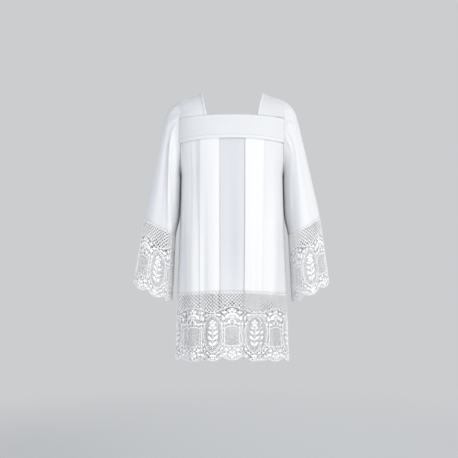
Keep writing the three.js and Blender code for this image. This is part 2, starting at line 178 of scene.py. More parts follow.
# Folds of a sleeve. "at" is the share of the way round: 0 at the underarm seam, 0.25 in front, 0.5 at the
# outer edge, 0.75 behind. Widths are shares of the way round too.
SLEEVE_FOLDS = {
    "left": named_rows(
        "t at depth width crisp",
        ((0.05, 0.32, 1.0), (0.345, 0.245, 0.205), (2.0, 9.0, 8.0), (0.045, 0.07), 1),
        ((0.06, 0.34, 1.0), (0.385, 0.295, 0.265), (-1.0, -5.5, -6.0), (0.03, 0.04)),
        ((0.10, 0.40, 1.0), (0.47, 0.41, 0.37), (0.6, 3.5, 5.0), (0.035, 0.05)),
        ((0.22, 0.50, 1.0), (0.15, 0.12, 0.105), (0.0, -3.5, -5.0), (0.03, 0.04)),
        ((0.01, 0.07, 0.17), (0.36, 0.375, 0.40), (1.4, 3.4, 0.0), (0.009, 0.014)),
        ((0.01, 0.06, 0.15), (0.39, 0.41, 0.445), (-1.4, -3.2, 0.0), (0.009, 0.013)),
        ((0.01, 0.08, 0.20), (0.32, 0.315, 0.325), (-1.2, -3.0, 0.0), (0.009, 0.014)),
        ((0.01, 0.05, 0.13), (0.43, 0.445, 0.47), (1.2, 2.6, 0.0), (0.008, 0.012)),
        ((0.01, 0.10, 0.22), (0.275, 0.27, 0.27), (1.2, 2.8, 0.0), (0.009, 0.014)),
        ((0.03, 0.40, 1.0), (0.60, 0.63, 0.655), (-0.8, -5.0, -7.0), (0.025, 0.042)),
        ((0.05, 0.45, 1.0), (0.67, 0.715, 0.74), (1.0, 6.0, 6.0), (0.035, 0.055), -1),
        ((0.10, 0.50, 1.0), (0.77, 0.82, 0.845), (-0.8, -4.0, -6.0), (0.025, 0.04)),
        ((0.01, 0.08, 0.18), (0.58, 0.57, 0.555), (1.2, 2.6, 0.0), (0.009, 0.013)),
        ((0.01, 0.06, 0.15), (0.62, 0.615, 0.605), (-1.2, -2.8, 0.0), (0.009, 0.013)),
    ),
    "right": named_rows(
        "t at depth width crisp",
        ((0.10, 0.42, 1.0), (0.43, 0.355, 0.315), (-0.8, -3.6, -6.5), (0.03, 0.042)),
        ((0.08, 0.35, 1.0), (0.365, 0.285, 0.225), (1.2, 4.6, 6.0), (0.032, 0.05)),
        ((0.20, 0.55, 1.0), (0.195, 0.155, 0.14), (0.0, -4.4, -6.0), (0.026, 0.036)),
        ((0.20, 0.60, 1.0), (0.46, 0.425, 0.40), (0.0, 2.8, 4.4), (0.03, 0.045)),
        ((0.01, 0.10, 0.21), (0.325, 0.365, 0.40), (1.4, 4.4, 0.0), (0.010, 0.015)),
        ((0.02, 0.11, 0.22), (0.40, 0.355, 0.325), (-1.4, -4.2, 0.0), (0.010, 0.015)),
        ((0.01, 0.06, 0.14), (0.425, 0.435, 0.45), (1.2, 2.8, 0.0), (0.008, 0.012)),
        ((0.01, 0.08, 0.18), (0.285, 0.28, 0.275), (-1.2, -3.2, 0.0), (0.009, 0.014)),
        ((0.01, 0.09, 0.20), (0.255, 0.25, 0.245), (1.0, 2.6, 0.0), (0.009, 0.013)),
        ((0.04, 0.42, 1.0), (0.585, 0.625, 0.66), (-0.8, -5.0, -6.5), (0.026, 0.042)),
        ((0.05, 0.48, 1.0), (0.66, 0.70, 0.735), (0.8, 5.4, 5.6), (0.035, 0.05), -1),
        ((0.12, 0.52, 1.0), (0.76, 0.81, 0.83), (-0.6, -3.6, -6.0), (0.024, 0.038)),
        ((0.01, 0.07, 0.16), (0.615, 0.60, 0.585), (1.2, 2.8, 0.0), (0.009, 0.013)),
        ((0.01, 0.06, 0.14), (0.57, 0.56, 0.55), (-1.2, -2.6, 0.0), (0.008, 0.012)),
    ),
}


# ---- Reading tables ----
def smooth(table, key, at, column):
    """Reads a column on a smooth curve through a table's rows."""
    rows = sorted(table, key=lambda row: row[key])
    keys = np.array([row[key] for row in rows], float)
    values = np.array([row[column] for row in rows], float)
    slopes = np.empty(len(rows))
    slopes[1:-1] = (values[2:] - values[:-2]) / (keys[2:] - keys[:-2])
    slopes[0] = (values[1] - values[0]) / (keys[1] - keys[0])
    slopes[-1] = (values[-1] - values[-2]) / (keys[-1] - keys[-2])
    at = np.clip(at, keys[0], keys[-1])
    i = np.clip(np.searchsorted(keys, at) - 1, 0, len(rows) - 2)
    span = keys[i + 1] - keys[i]
    s = (at - keys[i]) / span
    return (
        (2 * s**3 - 3 * s**2 + 1) * values[i]
        + (s**3 - 2 * s**2 + s) * span * slopes[i]
        + (3 * s**2 - 2 * s**3) * values[i + 1]
        + (s**3 - s**2) * span * slopes[i + 1]
    )


def unit(vectors):
    """Vectors along the last axis, made one long."""
    return vectors / (np.linalg.norm(vectors, axis=-1, keepdims=True) + 1e-12)


def eased(x):
    """0 below 0, 1 above 1, and a smooth step between."""
    x = np.clip(x, 0.0, 1.0)
    return x * x * (3 - 2 * x)


CRISP = 0.16  # how much narrower a fold is on a crisp side: +1 is the side further across, -1 the nearer


def fold_depth(folds, t, across, round_trip=0.0):
    """How far the listed folds stand out, at t down a piece and a place across it."""
    total = np.zeros(np.broadcast(t, across).shape)
    for fold in folds:
        t0, t1, t2 = fold["t"]
        curve = np.polyfit(fold["t"], fold["at"], 2)
        centre = np.polyval(curve, np.clip(t, t0, t2))
        depth = np.interp(t, (t0, t1, t2), fold["depth"])
        depth = depth * eased((t - t0) / max(0.4 * (t1 - t0), 1e-6) + 0.5)
        depth = depth * np.where(t2 < 1.0, 1.0 - eased((t - t2) / 0.02 + 0.5), 1.0)
        width = np.interp(t, (t0, t2), fold["width"])
        away = across - centre
        if round_trip:
            away = (away + round_trip / 2) % round_trip - round_trip / 2
        width = np.where(away * fold.get("crisp", 0) > 0, CRISP * width, width)
        total = total + depth * np.exp(-((away / width) ** 2))
    return total


# ---- The body's surface ----
PLAN_STEP = 5.0  # height from one outline of the body to the next


def body_plan(side):
    """Half of the body's outline at each height, from the centre line out to the armhole or the side seam."""
    z = np.arange(-930.0, -44.0, PLAN_STEP)
    depth = smooth(BODY, "z", z, side)
    top, bottom = ARMHOLE_TOP, UNDERARM
    up = (z - (top + bottom) / 2) / ((top - bottom) / 2)
    loop = np.where(z > bottom, ARMHOLE[side] * np.sqrt(np.clip(1 - up**2, 0, 1)), 0.0)
    edge = loop / depth
    on_armhole = ARMHOLE_X / (1 - edge**SQUARENESS) ** (1 / SQUARENESS)
    wide = np.where(z > bottom, on_armhole, smooth(BODY, "z", z, "half_width"))
    last = np.arccos(edge ** (SQUARENESS / 2))
    angle = last[:, None] * np.linspace(0, 1, 129)
    x = wide[:, None] * np.sin(angle) ** (2 / SQUARENESS)
    y = depth[:, None] * np.cos(angle) ** (2 / SQUARENESS)
    step = np.hypot(np.diff(x, axis=1), np.diff(y, axis=1))
    along = np.concatenate([np.zeros((len(z), 1)), np.cumsum(step, axis=1)], axis=1)
    even = np.linspace(0, 1, 193)
    x = np.array([np.interp(even * a[-1], a, row) for a, row in zip(along, x)])
    y = np.array([np.interp(even * a[-1], a, row) for a, row in zip(along, y)])
    return dict(side=side, z=z, x=x, y=y, length=along[:, -1])


PLANS = {side: body_plan(side) for side in ("front", "back")}


def plan_row(plan, z):
    """The outline at one height: x at even steps along it, and its length."""
    i = np.clip((z - plan["z"][0]) / PLAN_STEP, 0, len(plan["z"]) - 1.001)
    j, s = int(i), i - int(i)
    length = (1 - s) * plan["length"][j] + s * plan["length"][j + 1]
    return (1 - s) * plan["x"][j] + s * plan["x"][j + 1], length


def on_body(plan, p, h, z):
    """Points at a distance p round from the centre line, h out from the body's surface, at height z."""
    p, h, z = np.broadcast_arrays(p, h, z)
    zi = np.clip((z - plan["z"][0]) / PLAN_STEP, 0, len(plan["z"]) - 1.001)
    j = zi.astype(int)
    s = zi - j
    length = (1 - s) * plan["length"][j] + s * plan["length"][j + 1]
    last = plan["x"].shape[1] - 1
    place = np.clip(np.abs(p) / length, 0, 1) * last

    def read(name, where):
        where = np.clip(where, 0, last - 0.001)
        k = where.astype(int)
        f = where - k
        rows = [(1 - f) * plan[name][j + d, k] + f * plan[name][j + d, k + 1] for d in (0, 1)]
        return (1 - s) * rows[0] + s * rows[1]

    x, y = read("x", place), read("y", place)
    dx = read("x", place + 1.5) - read("x", place - 1.5)
    dy = read("y", place + 1.5) - read("y", place - 1.5)
    size = np.hypot(dx, dy)
    dx, dy = dx / size, dy / size
    across = np.where(p < 0, -1.0, 1.0)
    forward = -1.0 if plan["side"] == "front" else 1.0
    return np.stack([across * (x - dy * h), forward * (y + dx * h), z], axis=-1)


def pleat_edge(side, half, edge, down):
    """How far a pressed edge lies from the centre line, at a share of the way down."""
    row = next(r for r in PLEATS if (r["side"], r["half"], r["edge"]) == (side, half, edge))
    stations = [dict(at=0.0, x=row["yoke"]), dict(at=0.5, x=row["waist"]), dict(at=1.0, x=row["hem"])]
    return float(smooth(stations, "at", down, "x"))


# Turns of the cloth in half a panel, from the centre line out: at which edge, shifted by how much, between
# which layers. steps are the mesh steps on the straight stretch that leads to the turn.
TURNS = named_rows(
    "edge shift layers steps",
    ("inner", -2.0, (0, 1), (11, 5)),
    ("well", 0.0, (1, 4), (5,)),
    ("inner", 0.0, (4, 3), (17,)),
    ("well", 4.0, (3, 2), (5,)),
    ("outer", 0.0, (2, 1), (5, 15)),
    ("inner", 2.0, (1, 0), (5,)),
)
TURN_STEPS = 6
# How layered the cloth looks on each stretch, given as painted shade: single cloth (0) gets the darker colour
# of the shade behind it showing through, layered cloth the whiter one.
STRETCH_LAYERING_AND_SHADE = (0.0, 0.6, 1.0, 0.8, 0.9, 0.6, 0.3)
# Painted shade of the yokes and shoulders, as how layered they look: the left and right shoulders differ,
# with painted light and shade from one side.
YOKE_LAYERING_AND_SHADE = 0.46
SHOULDER_LAYERING_AND_SHADE = {"left": 0.68, "right": 0.34}
# Of a sleeve, as painted shade: how layered its outer part looks, how much darker the painted shade along the
# underarm is, and over what share of the way round it fades.
SLEEVE_LAYERING_AND_SHADE = {
    "left": dict(outer=0.30, seam=0.55, fade=0.10),
    "right": dict(outer=0.72, seam=0.45, fade=0.06),
}


def half_path(side, half, z, down, dense=False):
    """The way of the cloth through its pleats, as distance p, height h and the layering that sets its painted
    shade.
    """
    plan = PLANS[side]
    x, length = plan_row(plan, z)
    even = np.linspace(0, length, len(x))
    edges = {e: np.interp(pleat_edge(side, half, e, down), x, even) for e in ("well", "inner", "outer")}
    _, end = plan_row(plan, z - SIDE_SAG)
    pitch = LAYER_PITCH["yoke"] + (LAYER_PITCH["hem"] - LAYER_PITCH["yoke"]) * down
    p, h, tint = [0.0], [0.0], [STRETCH_LAYERING_AND_SHADE[0]]
    ways = (1, -1, 1, -1, 1, -1)
    for number, (turn, way) in enumerate(zip(TURNS, ways)):
        low, high = turn["layers"]
        edge = edges[turn["edge"]] + turn["shift"]
        reach = min(0.5 * abs(high - low) * pitch, 1.8)
        stop = edge - way * reach
        stops = [stop]
        if len(turn["steps"]) == 2:
            middle = edges["well"] if number == 0 else edges["inner"]
            stops = [middle, stop]
        for where, steps in zip(stops, turn["steps"]):
            if dense:
                steps *= 6
            share = np.arange(1, steps + 1) / steps
            p.extend(p[-1] + (where - p[-1]) * share)
            h.extend([low * pitch] * steps)
            tint.extend([STRETCH_LAYERING_AND_SHADE[number]] * steps)
        turns = TURN_STEPS * (3 if dense else 1)
        angle = np.pi * (np.arange(1, turns + 1) / turns - 0.5)
        p.extend(stop + way * reach * np.cos(angle))
        h.extend((low + high) / 2 * pitch + (high - low) / 2 * pitch * np.sin(angle))
        blend = np.arange(1, turns + 1) / turns
        tint.extend(STRETCH_LAYERING_AND_SHADE[number] + (STRETCH_LAYERING_AND_SHADE[number + 1] - STRETCH_LAYERING_AND_SHADE[number]) * blend)
    steps = 26 * (6 if dense else 1)
    share = np.arange(1, steps + 1) / steps
    p.extend(p[-1] + (end - p[-1]) * share)
    h.extend([0.0] * steps)
    tint.extend([STRETCH_LAYERING_AND_SHADE[6]] * steps)
    p, h, tint = np.array(p), np.array(h), np.array(tint)
    # The top layer of each pleat bellies out a little, more towards the hem.
    belly = 0.6 + 2.6 * down
    for low, high, layer, size in (
        (edges["well"], edges["inner"], 4, belly),
        (edges["inner"], edges["outer"], 2, 0.8 * belly),
        (-edges["well"], edges["well"], 0, -0.5 * belly),
    ):
        inside = (np.abs(h - layer * pitch) < 0.05) & (p > low + 1) & (p < high - 1)
        wave = np.sin(np.pi * np.clip((p - low) / (high - low), 0, 1)) ** 2
        h = h + np.where(inside, size * wave, 0.0)
    return p, h - 2 * pitch, tint


def pleated_surface(side, heights, top, dense=0):
    """A grid of points on a pleated panel, with the flat cloth's own coordinates.

    With dense, the columns are that many even steps along each half of the flat cloth.
    """
    plan = PLANS[side]
    folds = FRONT_FOLDS if side == "front" else BACK_FOLDS
    rows, flats, tints = [], [], []
    for z in heights:
        down = float(np.clip((YOKE_FOOT - z) / (YOKE_FOOT - HEM), 0, 1))
        halves = []
        for half, across in (("left", -1), ("right", 1)):
            p, h, tint = half_path(side, half, z, down, bool(dense))
            # Painted shade on the upper part of each layer beyond the inner pleat, and painted light that
            # whitens every layer lower down.
            beyond = eased((p - pleat_edge(side, half, "inner", down) - 4.0) / 2.0)
            tint = tint - 0.35 * (1 - eased(down / 0.5)) * beyond * (tint > 0.5)
            tint = tint + (1 - tint) * 0.8 * eased((down - 0.4) / 0.6)
            along = np.concatenate([[0], np.cumsum(np.hypot(np.diff(p), np.diff(h)))])
            if dense:
                even = np.linspace(0, along[-1], dense + 1)
                p, h = np.interp(even, along, p), np.interp(even, along, h)
                tint, along = np.interp(even, along, tint), even
            halves.append((across * p, h, tint, across * along))
        p, h, tint, along = (
            np.concatenate([halves[0][k][::-1], halves[1][k][1:]]) for k in range(4)
        )
        _, end = plan_row(plan, z - SIDE_SAG)
        soft = fold_depth(folds, down, p) * eased((end - np.abs(p)) / 26.0)
        x, length = plan_row(plan, z)
        x_here = np.interp(np.abs(p), np.linspace(0, length, len(x)), x)
        sag = SIDE_SAG * (x_here / ARMHOLE_X) ** 2
        tucked = -1.0 * eased((z - YOKE_FOOT) / 5.0 + 0.5)
        rows.append(on_body(plan, p, h + soft + tucked, z - sag))
        flats.append(np.stack([along, np.full_like(along, top - z)], axis=-1))
        tints.append(tint)
    return dict(points=np.array(rows), flat=np.array(flats), tint=np.array(tints))


# ---- Sleeves ----
def signed_power(value, power):
    return np.sign(value) * np.abs(value) ** power


def sleeve_surface(side, stations, columns):
    """A grid of points round a sleeve, even along each ring, from the underarm seam by the front and back."""
    across = -1.0 if side == "left" else 1.0
    t = np.asarray(stations, float)[:, None]

    def at(column):
        return smooth(SLEEVE, "t", t, column)

    angle = np.radians(180.0 - np.linspace(0, 360, 721))[None, :]
    out_x = at("out_x") + at(side)
    power = 2 / at("power")
    cos, sin = signed_power(np.cos(angle), power), signed_power(np.sin(angle), power)
    depth = np.where(np.sin(angle) > 0, at("front"), at("back"))
    x = (out_x + at("in_x")) / 2 + (out_x - at("in_x")) / 2 * cos
    z = (at("out_z") + at("in_z")) / 2 + (at("out_z") - at("in_z")) / 2 * cos
    y = -depth * sin
    ring = np.stack(np.broadcast_arrays(across * x, y, z), axis=-1)
    step = np.linalg.norm(np.diff(ring, axis=1), axis=2)
    along = np.concatenate([np.zeros((len(t), 1)), np.cumsum(step, axis=1)], axis=1)
    even = np.arange(columns) / columns
    points = np.array(
        [[np.interp(even * a[-1], a, row[:, k]) for k in range(3)] for a, row in zip(along, ring)]
    ).transpose(0, 2, 1)
    normals = ring_normals(points)
    soft = fold_depth(SLEEVE_FOLDS[side], t, even[None, :], 1.0) * eased(t / 0.05)
    # Keep the side that faces the body where it is.
    inner = np.minimum(even, 1 - even)[None, :]
    soft = np.where(soft > 0, soft * eased(inner / 0.09), soft) + 0.5 * (1 - eased(t / 0.03))
    points = points + normals * soft[..., None]
    points[..., 0] -= across * beside_body(across * points[..., 0], points[..., 1], points[..., 2], inner)
    girth = along[:, -1]
    flat = np.stack(np.broadcast_arrays(even[None, :] * girth[:, None], t * SLEEVE_CUT), axis=-1)
    return dict(points=points, flat=flat, girth=girth)


def beside_body(x, y, z, inner):
    """How far the inner side of a sleeve moves in, to lie against the side of the body below the armhole."""
    depth = np.where(y < 0, smooth(BODY, "z", z, "front"), smooth(BODY, "z", z, "back"))
    wide = smooth(BODY, "z", z, "half_width")
    side = wide * np.clip(1 - (np.abs(y) / depth) ** SQUARENESS, 0, 1) ** (1 / SQUARENESS) + 1.2
    weight = eased((-262.0 - z) / 40.0) * (1 - eased((-z - 395.0) / 105.0))
    weight = weight * (1 - eased((np.abs(y) - 24.0) / 34.0)) * (1 - eased((inner - 0.13) / 0.08))
    return np.clip(x - side, 0, None) * weight


def ring_normals(points):
    """Outward normals of a grid of rings."""
    along = np.roll(points, -1, axis=1) - np.roll(points, 1, axis=1)
    down = np.gradient(points, axis=0)
    normals = unit(np.cross(along, down))
    middle = points.mean(axis=1, keepdims=True)
    flip = np.sign(np.sum(normals * (points - middle)))
    return normals * flip


def sheet_normals(points, outward):
    """Normals of an open grid, on the side that the outward directions point to."""
    normals = unit(np.cross(np.gradient(points, axis=1), np.gradient(points, axis=0)))
    flip = np.sign(np.sum(normals * outward))
    return normals * flip


# ---- Meshes ----
def new_piece(name, points, faces, material, attributes=None):
    """A mesh object from points in millimetres, riding on the garment."""
    mesh = bpy.data.meshes.new(name)
    mesh.from_pydata((np.asarray(points) * MM).tolist(), [], faces)
    for key, values in (attributes or {}).items():
        values = np.asarray(values, np.float32)
        if values.ndim == 1:
            layer = mesh.attributes.new(key, "FLOAT", "POINT")
            layer.data.foreach_set("value", values)
        else:
            layer = mesh.attributes.new(key, "FLOAT_VECTOR", "POINT")
            padded = np.zeros((len(values), 3), np.float32)
            padded[:, : values.shape[1]] = values
            layer.data.foreach_set("vector", padded.ravel())
    mesh.materials.append(material)
    mesh.polygons.foreach_set("use_smooth", [True] * len(mesh.polygons))
    mesh.update()
    piece = bpy.data.objects.new(name, mesh)
    bpy.context.scene.collection.objects.link(piece)
    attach(piece, "root")
    return piece


def shell(name, surface, normals, thickness, material, closed=False, tint=None):
    """A thin closed cloth about a grid of points."""
    points = surface["points"]
    rows, columns = points.shape[:2]
    both = np.concatenate([points + normals * thickness / 2, points - normals * thickness / 2])
    i = np.arange(columns if closed else columns - 1)
    j = np.arange(rows - 1)[:, None]
    right = (i + 1) % columns
    outer = np.stack(np.broadcast_arrays(j * columns + i, j * columns + right, (j + 1) * columns + right,
                                         (j + 1) * columns + i), axis=-1).reshape(-1, 4)
    size = rows * columns
    inner = outer[:, ::-1] + size
    faces = [outer, inner]
    for row, turn in ((0, -1), (rows - 1, 1)):
        rim = np.stack([row * columns + i, row * columns + right, row * columns + right + size,
                        row * columns + i + size], axis=-1)
        faces.append(rim[:, ::turn])
    if not closed:
        down = np.arange(rows - 1)
        for column, turn in ((0, 1), (columns - 1, -1)):
            rim = np.stack([down * columns + column, (down + 1) * columns + column,
                            (down + 1) * columns + column + size, down * columns + column + size], axis=-1)
            faces.append(rim[:, ::turn])
    faces = np.concatenate(faces)
    both = both.reshape(-1, 3)
    a, b, c = both[faces[:, 0]], both[faces[:, 1]], both[faces[:, 2]]
    if np.sum(a * np.cross(b, c)) < 0:
        faces = faces[:, ::-1]
    flat = surface["flat"].reshape(-1, 2) * MM
    attributes = {"cut": np.concatenate([flat, flat])}
    # The layering attribute holds painted shade: it picks between the cloth's thin and dense colours.
    tint = np.full((rows, columns), 0.5) if tint is None else np.broadcast_to(tint, (rows, columns))
    attributes["layering_and_shade"] = np.concatenate([tint.ravel(), tint.ravel()])
    return new_piece(name, both, faces.tolist(), material, attributes=attributes)


# ---- Flat lace ----
# Sections of a cord by its number of sides, as shares of its width and height.
CORD_SECTION = {
    3: ((-0.5, 0.0), (0.0, 1.0), (0.5, 0.0)),
    4: ((-0.5, 0.0), (-0.26, 1.0), (0.26, 1.0), (0.5, 0.0)),
}


def cord(points, width, height, closed=False, sides=4):
    """A raised cord along points of the flat lace, as vertices (u, v, w) and faces of four corners."""
    points = np.asarray(points, float)
    if closed:
        ahead, behind = np.roll(points, -1, axis=0), np.roll(points, 1, axis=0)
    else:
        ahead = np.concatenate([points[1:], points[-1:]])
        behind = np.concatenate([points[:1], points[:-1]])
    way = unit(ahead - behind)
    normal = np.stack([-way[:, 1], way[:, 0]], axis=1)
    rings = [
        np.concatenate([points + normal * width * a, np.full((len(points), 1), height * b)], axis=1)
        for a, b in CORD_SECTION[sides]
    ]
    vertices = np.stack(rings, axis=1).reshape(-1, 3)
    count = len(points)
    i = np.arange(count if closed else count - 1)[:, None]
    k = np.arange(sides)
    nxt = (i + 1) % count
    faces = np.stack(np.broadcast_arrays(i * sides + k, nxt * sides + k, nxt * sides + (k + 1) % sides,
                                         i * sides + (k + 1) % sides), axis=-1).reshape(-1, 4)
    return vertices, [faces]


def padded_shape(outline, height, groove=0.0):
    """A raised, rounded shape inside an outline: a petal, leaf or knot."""
    outline = np.asarray(outline, float)
    centre = outline.mean(axis=0)
    count = len(outline)
    inner = centre + (outline - centre) * 0.58
    vertices = np.concatenate([
        np.concatenate([outline, np.zeros((count, 1))], axis=1),
        np.concatenate([inner, np.full((count, 1), height)], axis=1),
        [[centre[0], centre[1], height * (1 - groove)]],
    ])
    i = np.arange(count)
    j = (i + 1) % count
    sides = np.stack([i, j, j + count, i + count], axis=1)
    top = np.stack([i + count, j + count, np.full(count, 2 * count)], axis=1)
    back = np.arange(count)[::-1][None, :]
    return vertices, [sides, top, back]


def petal_outline(u, v, length, width, turn, points=12, point=0.0):
    """An egg or leaf outline: turn is its direction in degrees from +u towards +v."""
    a = np.linspace(0, 2 * np.pi, points, endpoint=False)
    x = np.cos(a) * length / 2
    y = np.sin(a) * width / 2 * (1 - point * np.cos(a) ** 2) * (1 + 0.18 * np.cos(a))
    c, s = math.cos(math.radians(turn)), math.sin(math.radians(turn))
    return np.stack([u + c * x - s * y, v + s * x + c * y], axis=1)


def oval_outline(u, v, half_u, half_v, points=40, square=2.0):
    """An oval, or a rounded square when square is above 2."""
    a = np.linspace(0, 2 * np.pi, points, endpoint=False)
    return np.stack([u + half_u * signed_power(np.cos(a), 2 / square),
                     v + half_v * signed_power(np.sin(a), 2 / square)], axis=1)


def net(inside, box, step_u, step_v, width, height, knot=0.0, corners=6, stride=1):
    """Crossed threads, and the knots where they cross, wherever inside(u, v) is true."""
    u0, u1, v0, v1 = box
    pieces = []
    half_u, half_v = step_u / 2, step_v / 2
    rows = int(math.ceil((v1 - v0) / half_v))
    fine = np.linspace(0, rows, rows * 6 + 1)
    first = math.floor((u0 - rows * half_u) / step_u)
    last = math.ceil((u1 + rows * half_u) / step_u)
    for way in (1, -1):
        for k in range(first, last + 1):
            u = k * step_u + way * fine * half_u
            v = v0 + fine * half_v
            ok = inside(u, v) & (v <= v1) & (u >= u0) & (u <= u1)
            edges = np.flatnonzero(np.diff(np.concatenate([[0], ok.astype(int), [0]])))
            for start, stop in zip(edges[::2], edges[1::2]):
                if stop - start < 3:
                    continue
                between = [m for m in range(start + 1, stop - 1) if m % (6 * stride) == 0]
                keep = [start, *between, stop - 1]
                pieces.append(cord(np.stack([u[keep], v[keep]], axis=1), width, height, sides=3))
    if knot:
        for m in range(rows + 1):
            v = v0 + m * half_v
            for k in range(first, last + 1):
                u = k * step_u + (m % 2) * half_u
                if u0 <= u < u1 - 1e-6 and bool(inside(np.array([u]), np.array([v]))[0]):
                    pieces.append(padded_shape(oval_outline(u, v, knot, knot, corners), height * 1.5))
    return pieces


PITCH = 125.0  # width of one repeat of the lace
CARTOUCHE = dict(v=147.0, half_u=26.0, half_v=28.0)
MEDALLION = dict(v=136.0, half_u=31.0, half_v=60.0)
SWAG = dict(middle=58.0, rise=9.0)  # the cord under the trellis
EDGE_LOBE = 14.0
RELIEF = 0.6  # how flat the washed and pressed lace lies
LACE_SINK = 0.3  # how far its back lies in from the grid that it is laid on
HEM_REPEATS, HEM_COLUMNS = 10, 1300  # the columns are those of half a hem
CUFF_REPEATS, CUFF_COLUMNS = 5, 900
CUFF_MIDDLE = {"left": 0.225, "right": 0.255}  # share of the way round at which a medallion is centred


def swag(u):
    return SWAG["middle"] - SWAG["rise"] * np.cos(2 * np.pi * u / PITCH)


def lower_edge(u):
    return LACE_DEPTH - 1.5 - EDGE_LOBE * (1 - np.abs(np.cos(2 * np.pi * u / PITCH)) ** 0.7)


def cartouche_side(v):
    """Half the width of a cartouche: its sides are a little hollow."""
    return CARTOUCHE["half_u"] - 1.6 * (1 - ((v - CARTOUCHE["v"]) / CARTOUCHE["half_v"]) ** 2)


def cartouche_ends(u):
    """The arched top and the slightly rounded foot of a cartouche."""
    rise = 1 - (u / CARTOUCHE["half_u"]) ** 2
    middle, half = CARTOUCHE["v"], CARTOUCHE["half_v"]
    return middle - half - 6.5 * rise, middle + half + 2.0 * rise


def in_cartouche(u, v, grow=0.0):
    top, foot = cartouche_ends(u)
    return (np.abs(u) < cartouche_side(v) + grow) & (v > top - grow) & (v < foot + grow)


def cartouche_outline():
    u = np.linspace(-CARTOUCHE["half_u"] + 1.5, CARTOUCHE["half_u"] - 1.5, 11)
    top, foot = cartouche_ends(u)
    v = np.linspace(CARTOUCHE["v"] - CARTOUCHE["half_v"] + 1.0, CARTOUCHE["v"] + CARTOUCHE["half_v"] - 1.0, 9)
    return np.concatenate([
        np.stack([u, top], axis=1), np.stack([cartouche_side(v), v], axis=1),
        np.stack([u[::-1], foot[::-1]], axis=1), np.stack([-cartouche_side(v[::-1]), v[::-1]], axis=1),
    ])


def in_medallion(u, v, grow=0.0):
    away = np.abs(np.abs(u) - PITCH / 2)
    a = away / (MEDALLION["half_u"] + grow)
    b = np.abs(v - MEDALLION["v"]) / (MEDALLION["half_v"] + grow)
    return a**2 + b**2 < 1


# Leaves and petals in the half of a repeat from a cartouche's centre line out: the other half mirrors it.
LEAVES = named_rows(
    "u v length width turn",
    (16.0, 80.0, 24, 13, 52),
    (29.0, 86.0, 19, 11, 110),
    (24.0, 68.0, 16, 9, 12),
    (41.0, 76.0, 16, 8, -20),
    (10.0, 99.0, 17, 9, 78),
    (22.0, 104.0, 13, 7, 30),
    (53.0, 72.5, 12, 5.5, -8),
    (33.0, 103.0, 11, 6, 80),
    (31.5, 172.0, 13, 6, 100),
    (35.0, 186.0, 15, 8, 60),
    (19.0, 190.0, 17, 9, -40),
    (23.0, 204.0, 18, 10, 10),
    (9.0, 185.0, 11, 6, -75),
    (44.0, 198.0, 16, 8, 28),
    (37.0, 209.0, 12, 6, -10),
    (56.0, 207.0, 14, 8, 12),
    (51.0, 218.0, 9, 5, -20),
)
FLOWERS = named_rows(
    "u v radius turn",
    (0.0, 66.0, 13.5, -90),
    (0.0, 86.0, 9.0, -90),
    (0.0, 205.0, 14.5, 90),
    (62.5, 211.0, 8.5, -90),
)
# Pairs of leaves on the stem of a medallion's spray.
SPRAY = named_rows(
    "v length width lean",
    (176, 20, 9.5, 38), (158, 23, 11, 44), (139, 21, 10, 48), (122, 16, 8, 52),
)
# Bars that hold the motifs together, from one place to another.
BARS = (
    (26.0, 122.0, 35.0, 108.0),
    (26.5, 134.0, 32.0, 130.0),
    (26.5, 150.0, 32.5, 150.0),
    (26.0, 166.0, 36.0, 166.0),
    (22.0, 175.0, 27.0, 186.0),
    (6.0, 176.0, 5.0, 192.0),
    (14.0, 176.0, 16.0, 186.0),
    (5.0, 114.0, 5.0, 96.0),
    (15.0, 114.0, 18.0, 100.0),
    (24.0, 118.0, 27.0, 96.0),
    (40.0, 90.0, 42.0, 82.0),
    (58.0, 76.0, 57.0, 68.0),
    (36.0, 196.0, 30.0, 190.0),
    (30.0, 214.0, 33.0, 198.0),
    (47.0, 192.0, 44.0, 200.0),
    (60.0, 197.0, 60.0, 206.0),
)


def flower(u, v, radius, turn, petals=5):
    """A flower of padded petals round an open eye."""
    pieces = []
    for k in range(petals):
        way = math.radians(turn + 360 * k / petals)
        place = 0.60 * radius
        outline = petal_outline(u + place * math.cos(way), v + place * math.sin(way), 0.82 * radius,
                                0.74 * radius, math.degrees(way), 10)
        pieces.append(padded_shape(outline, 1.0, 0.35))
    pieces.append(cord(oval_outline(u, v, 0.21 * radius, 0.21 * radius, 8), 1.2, 1.3, closed=True))
    return pieces


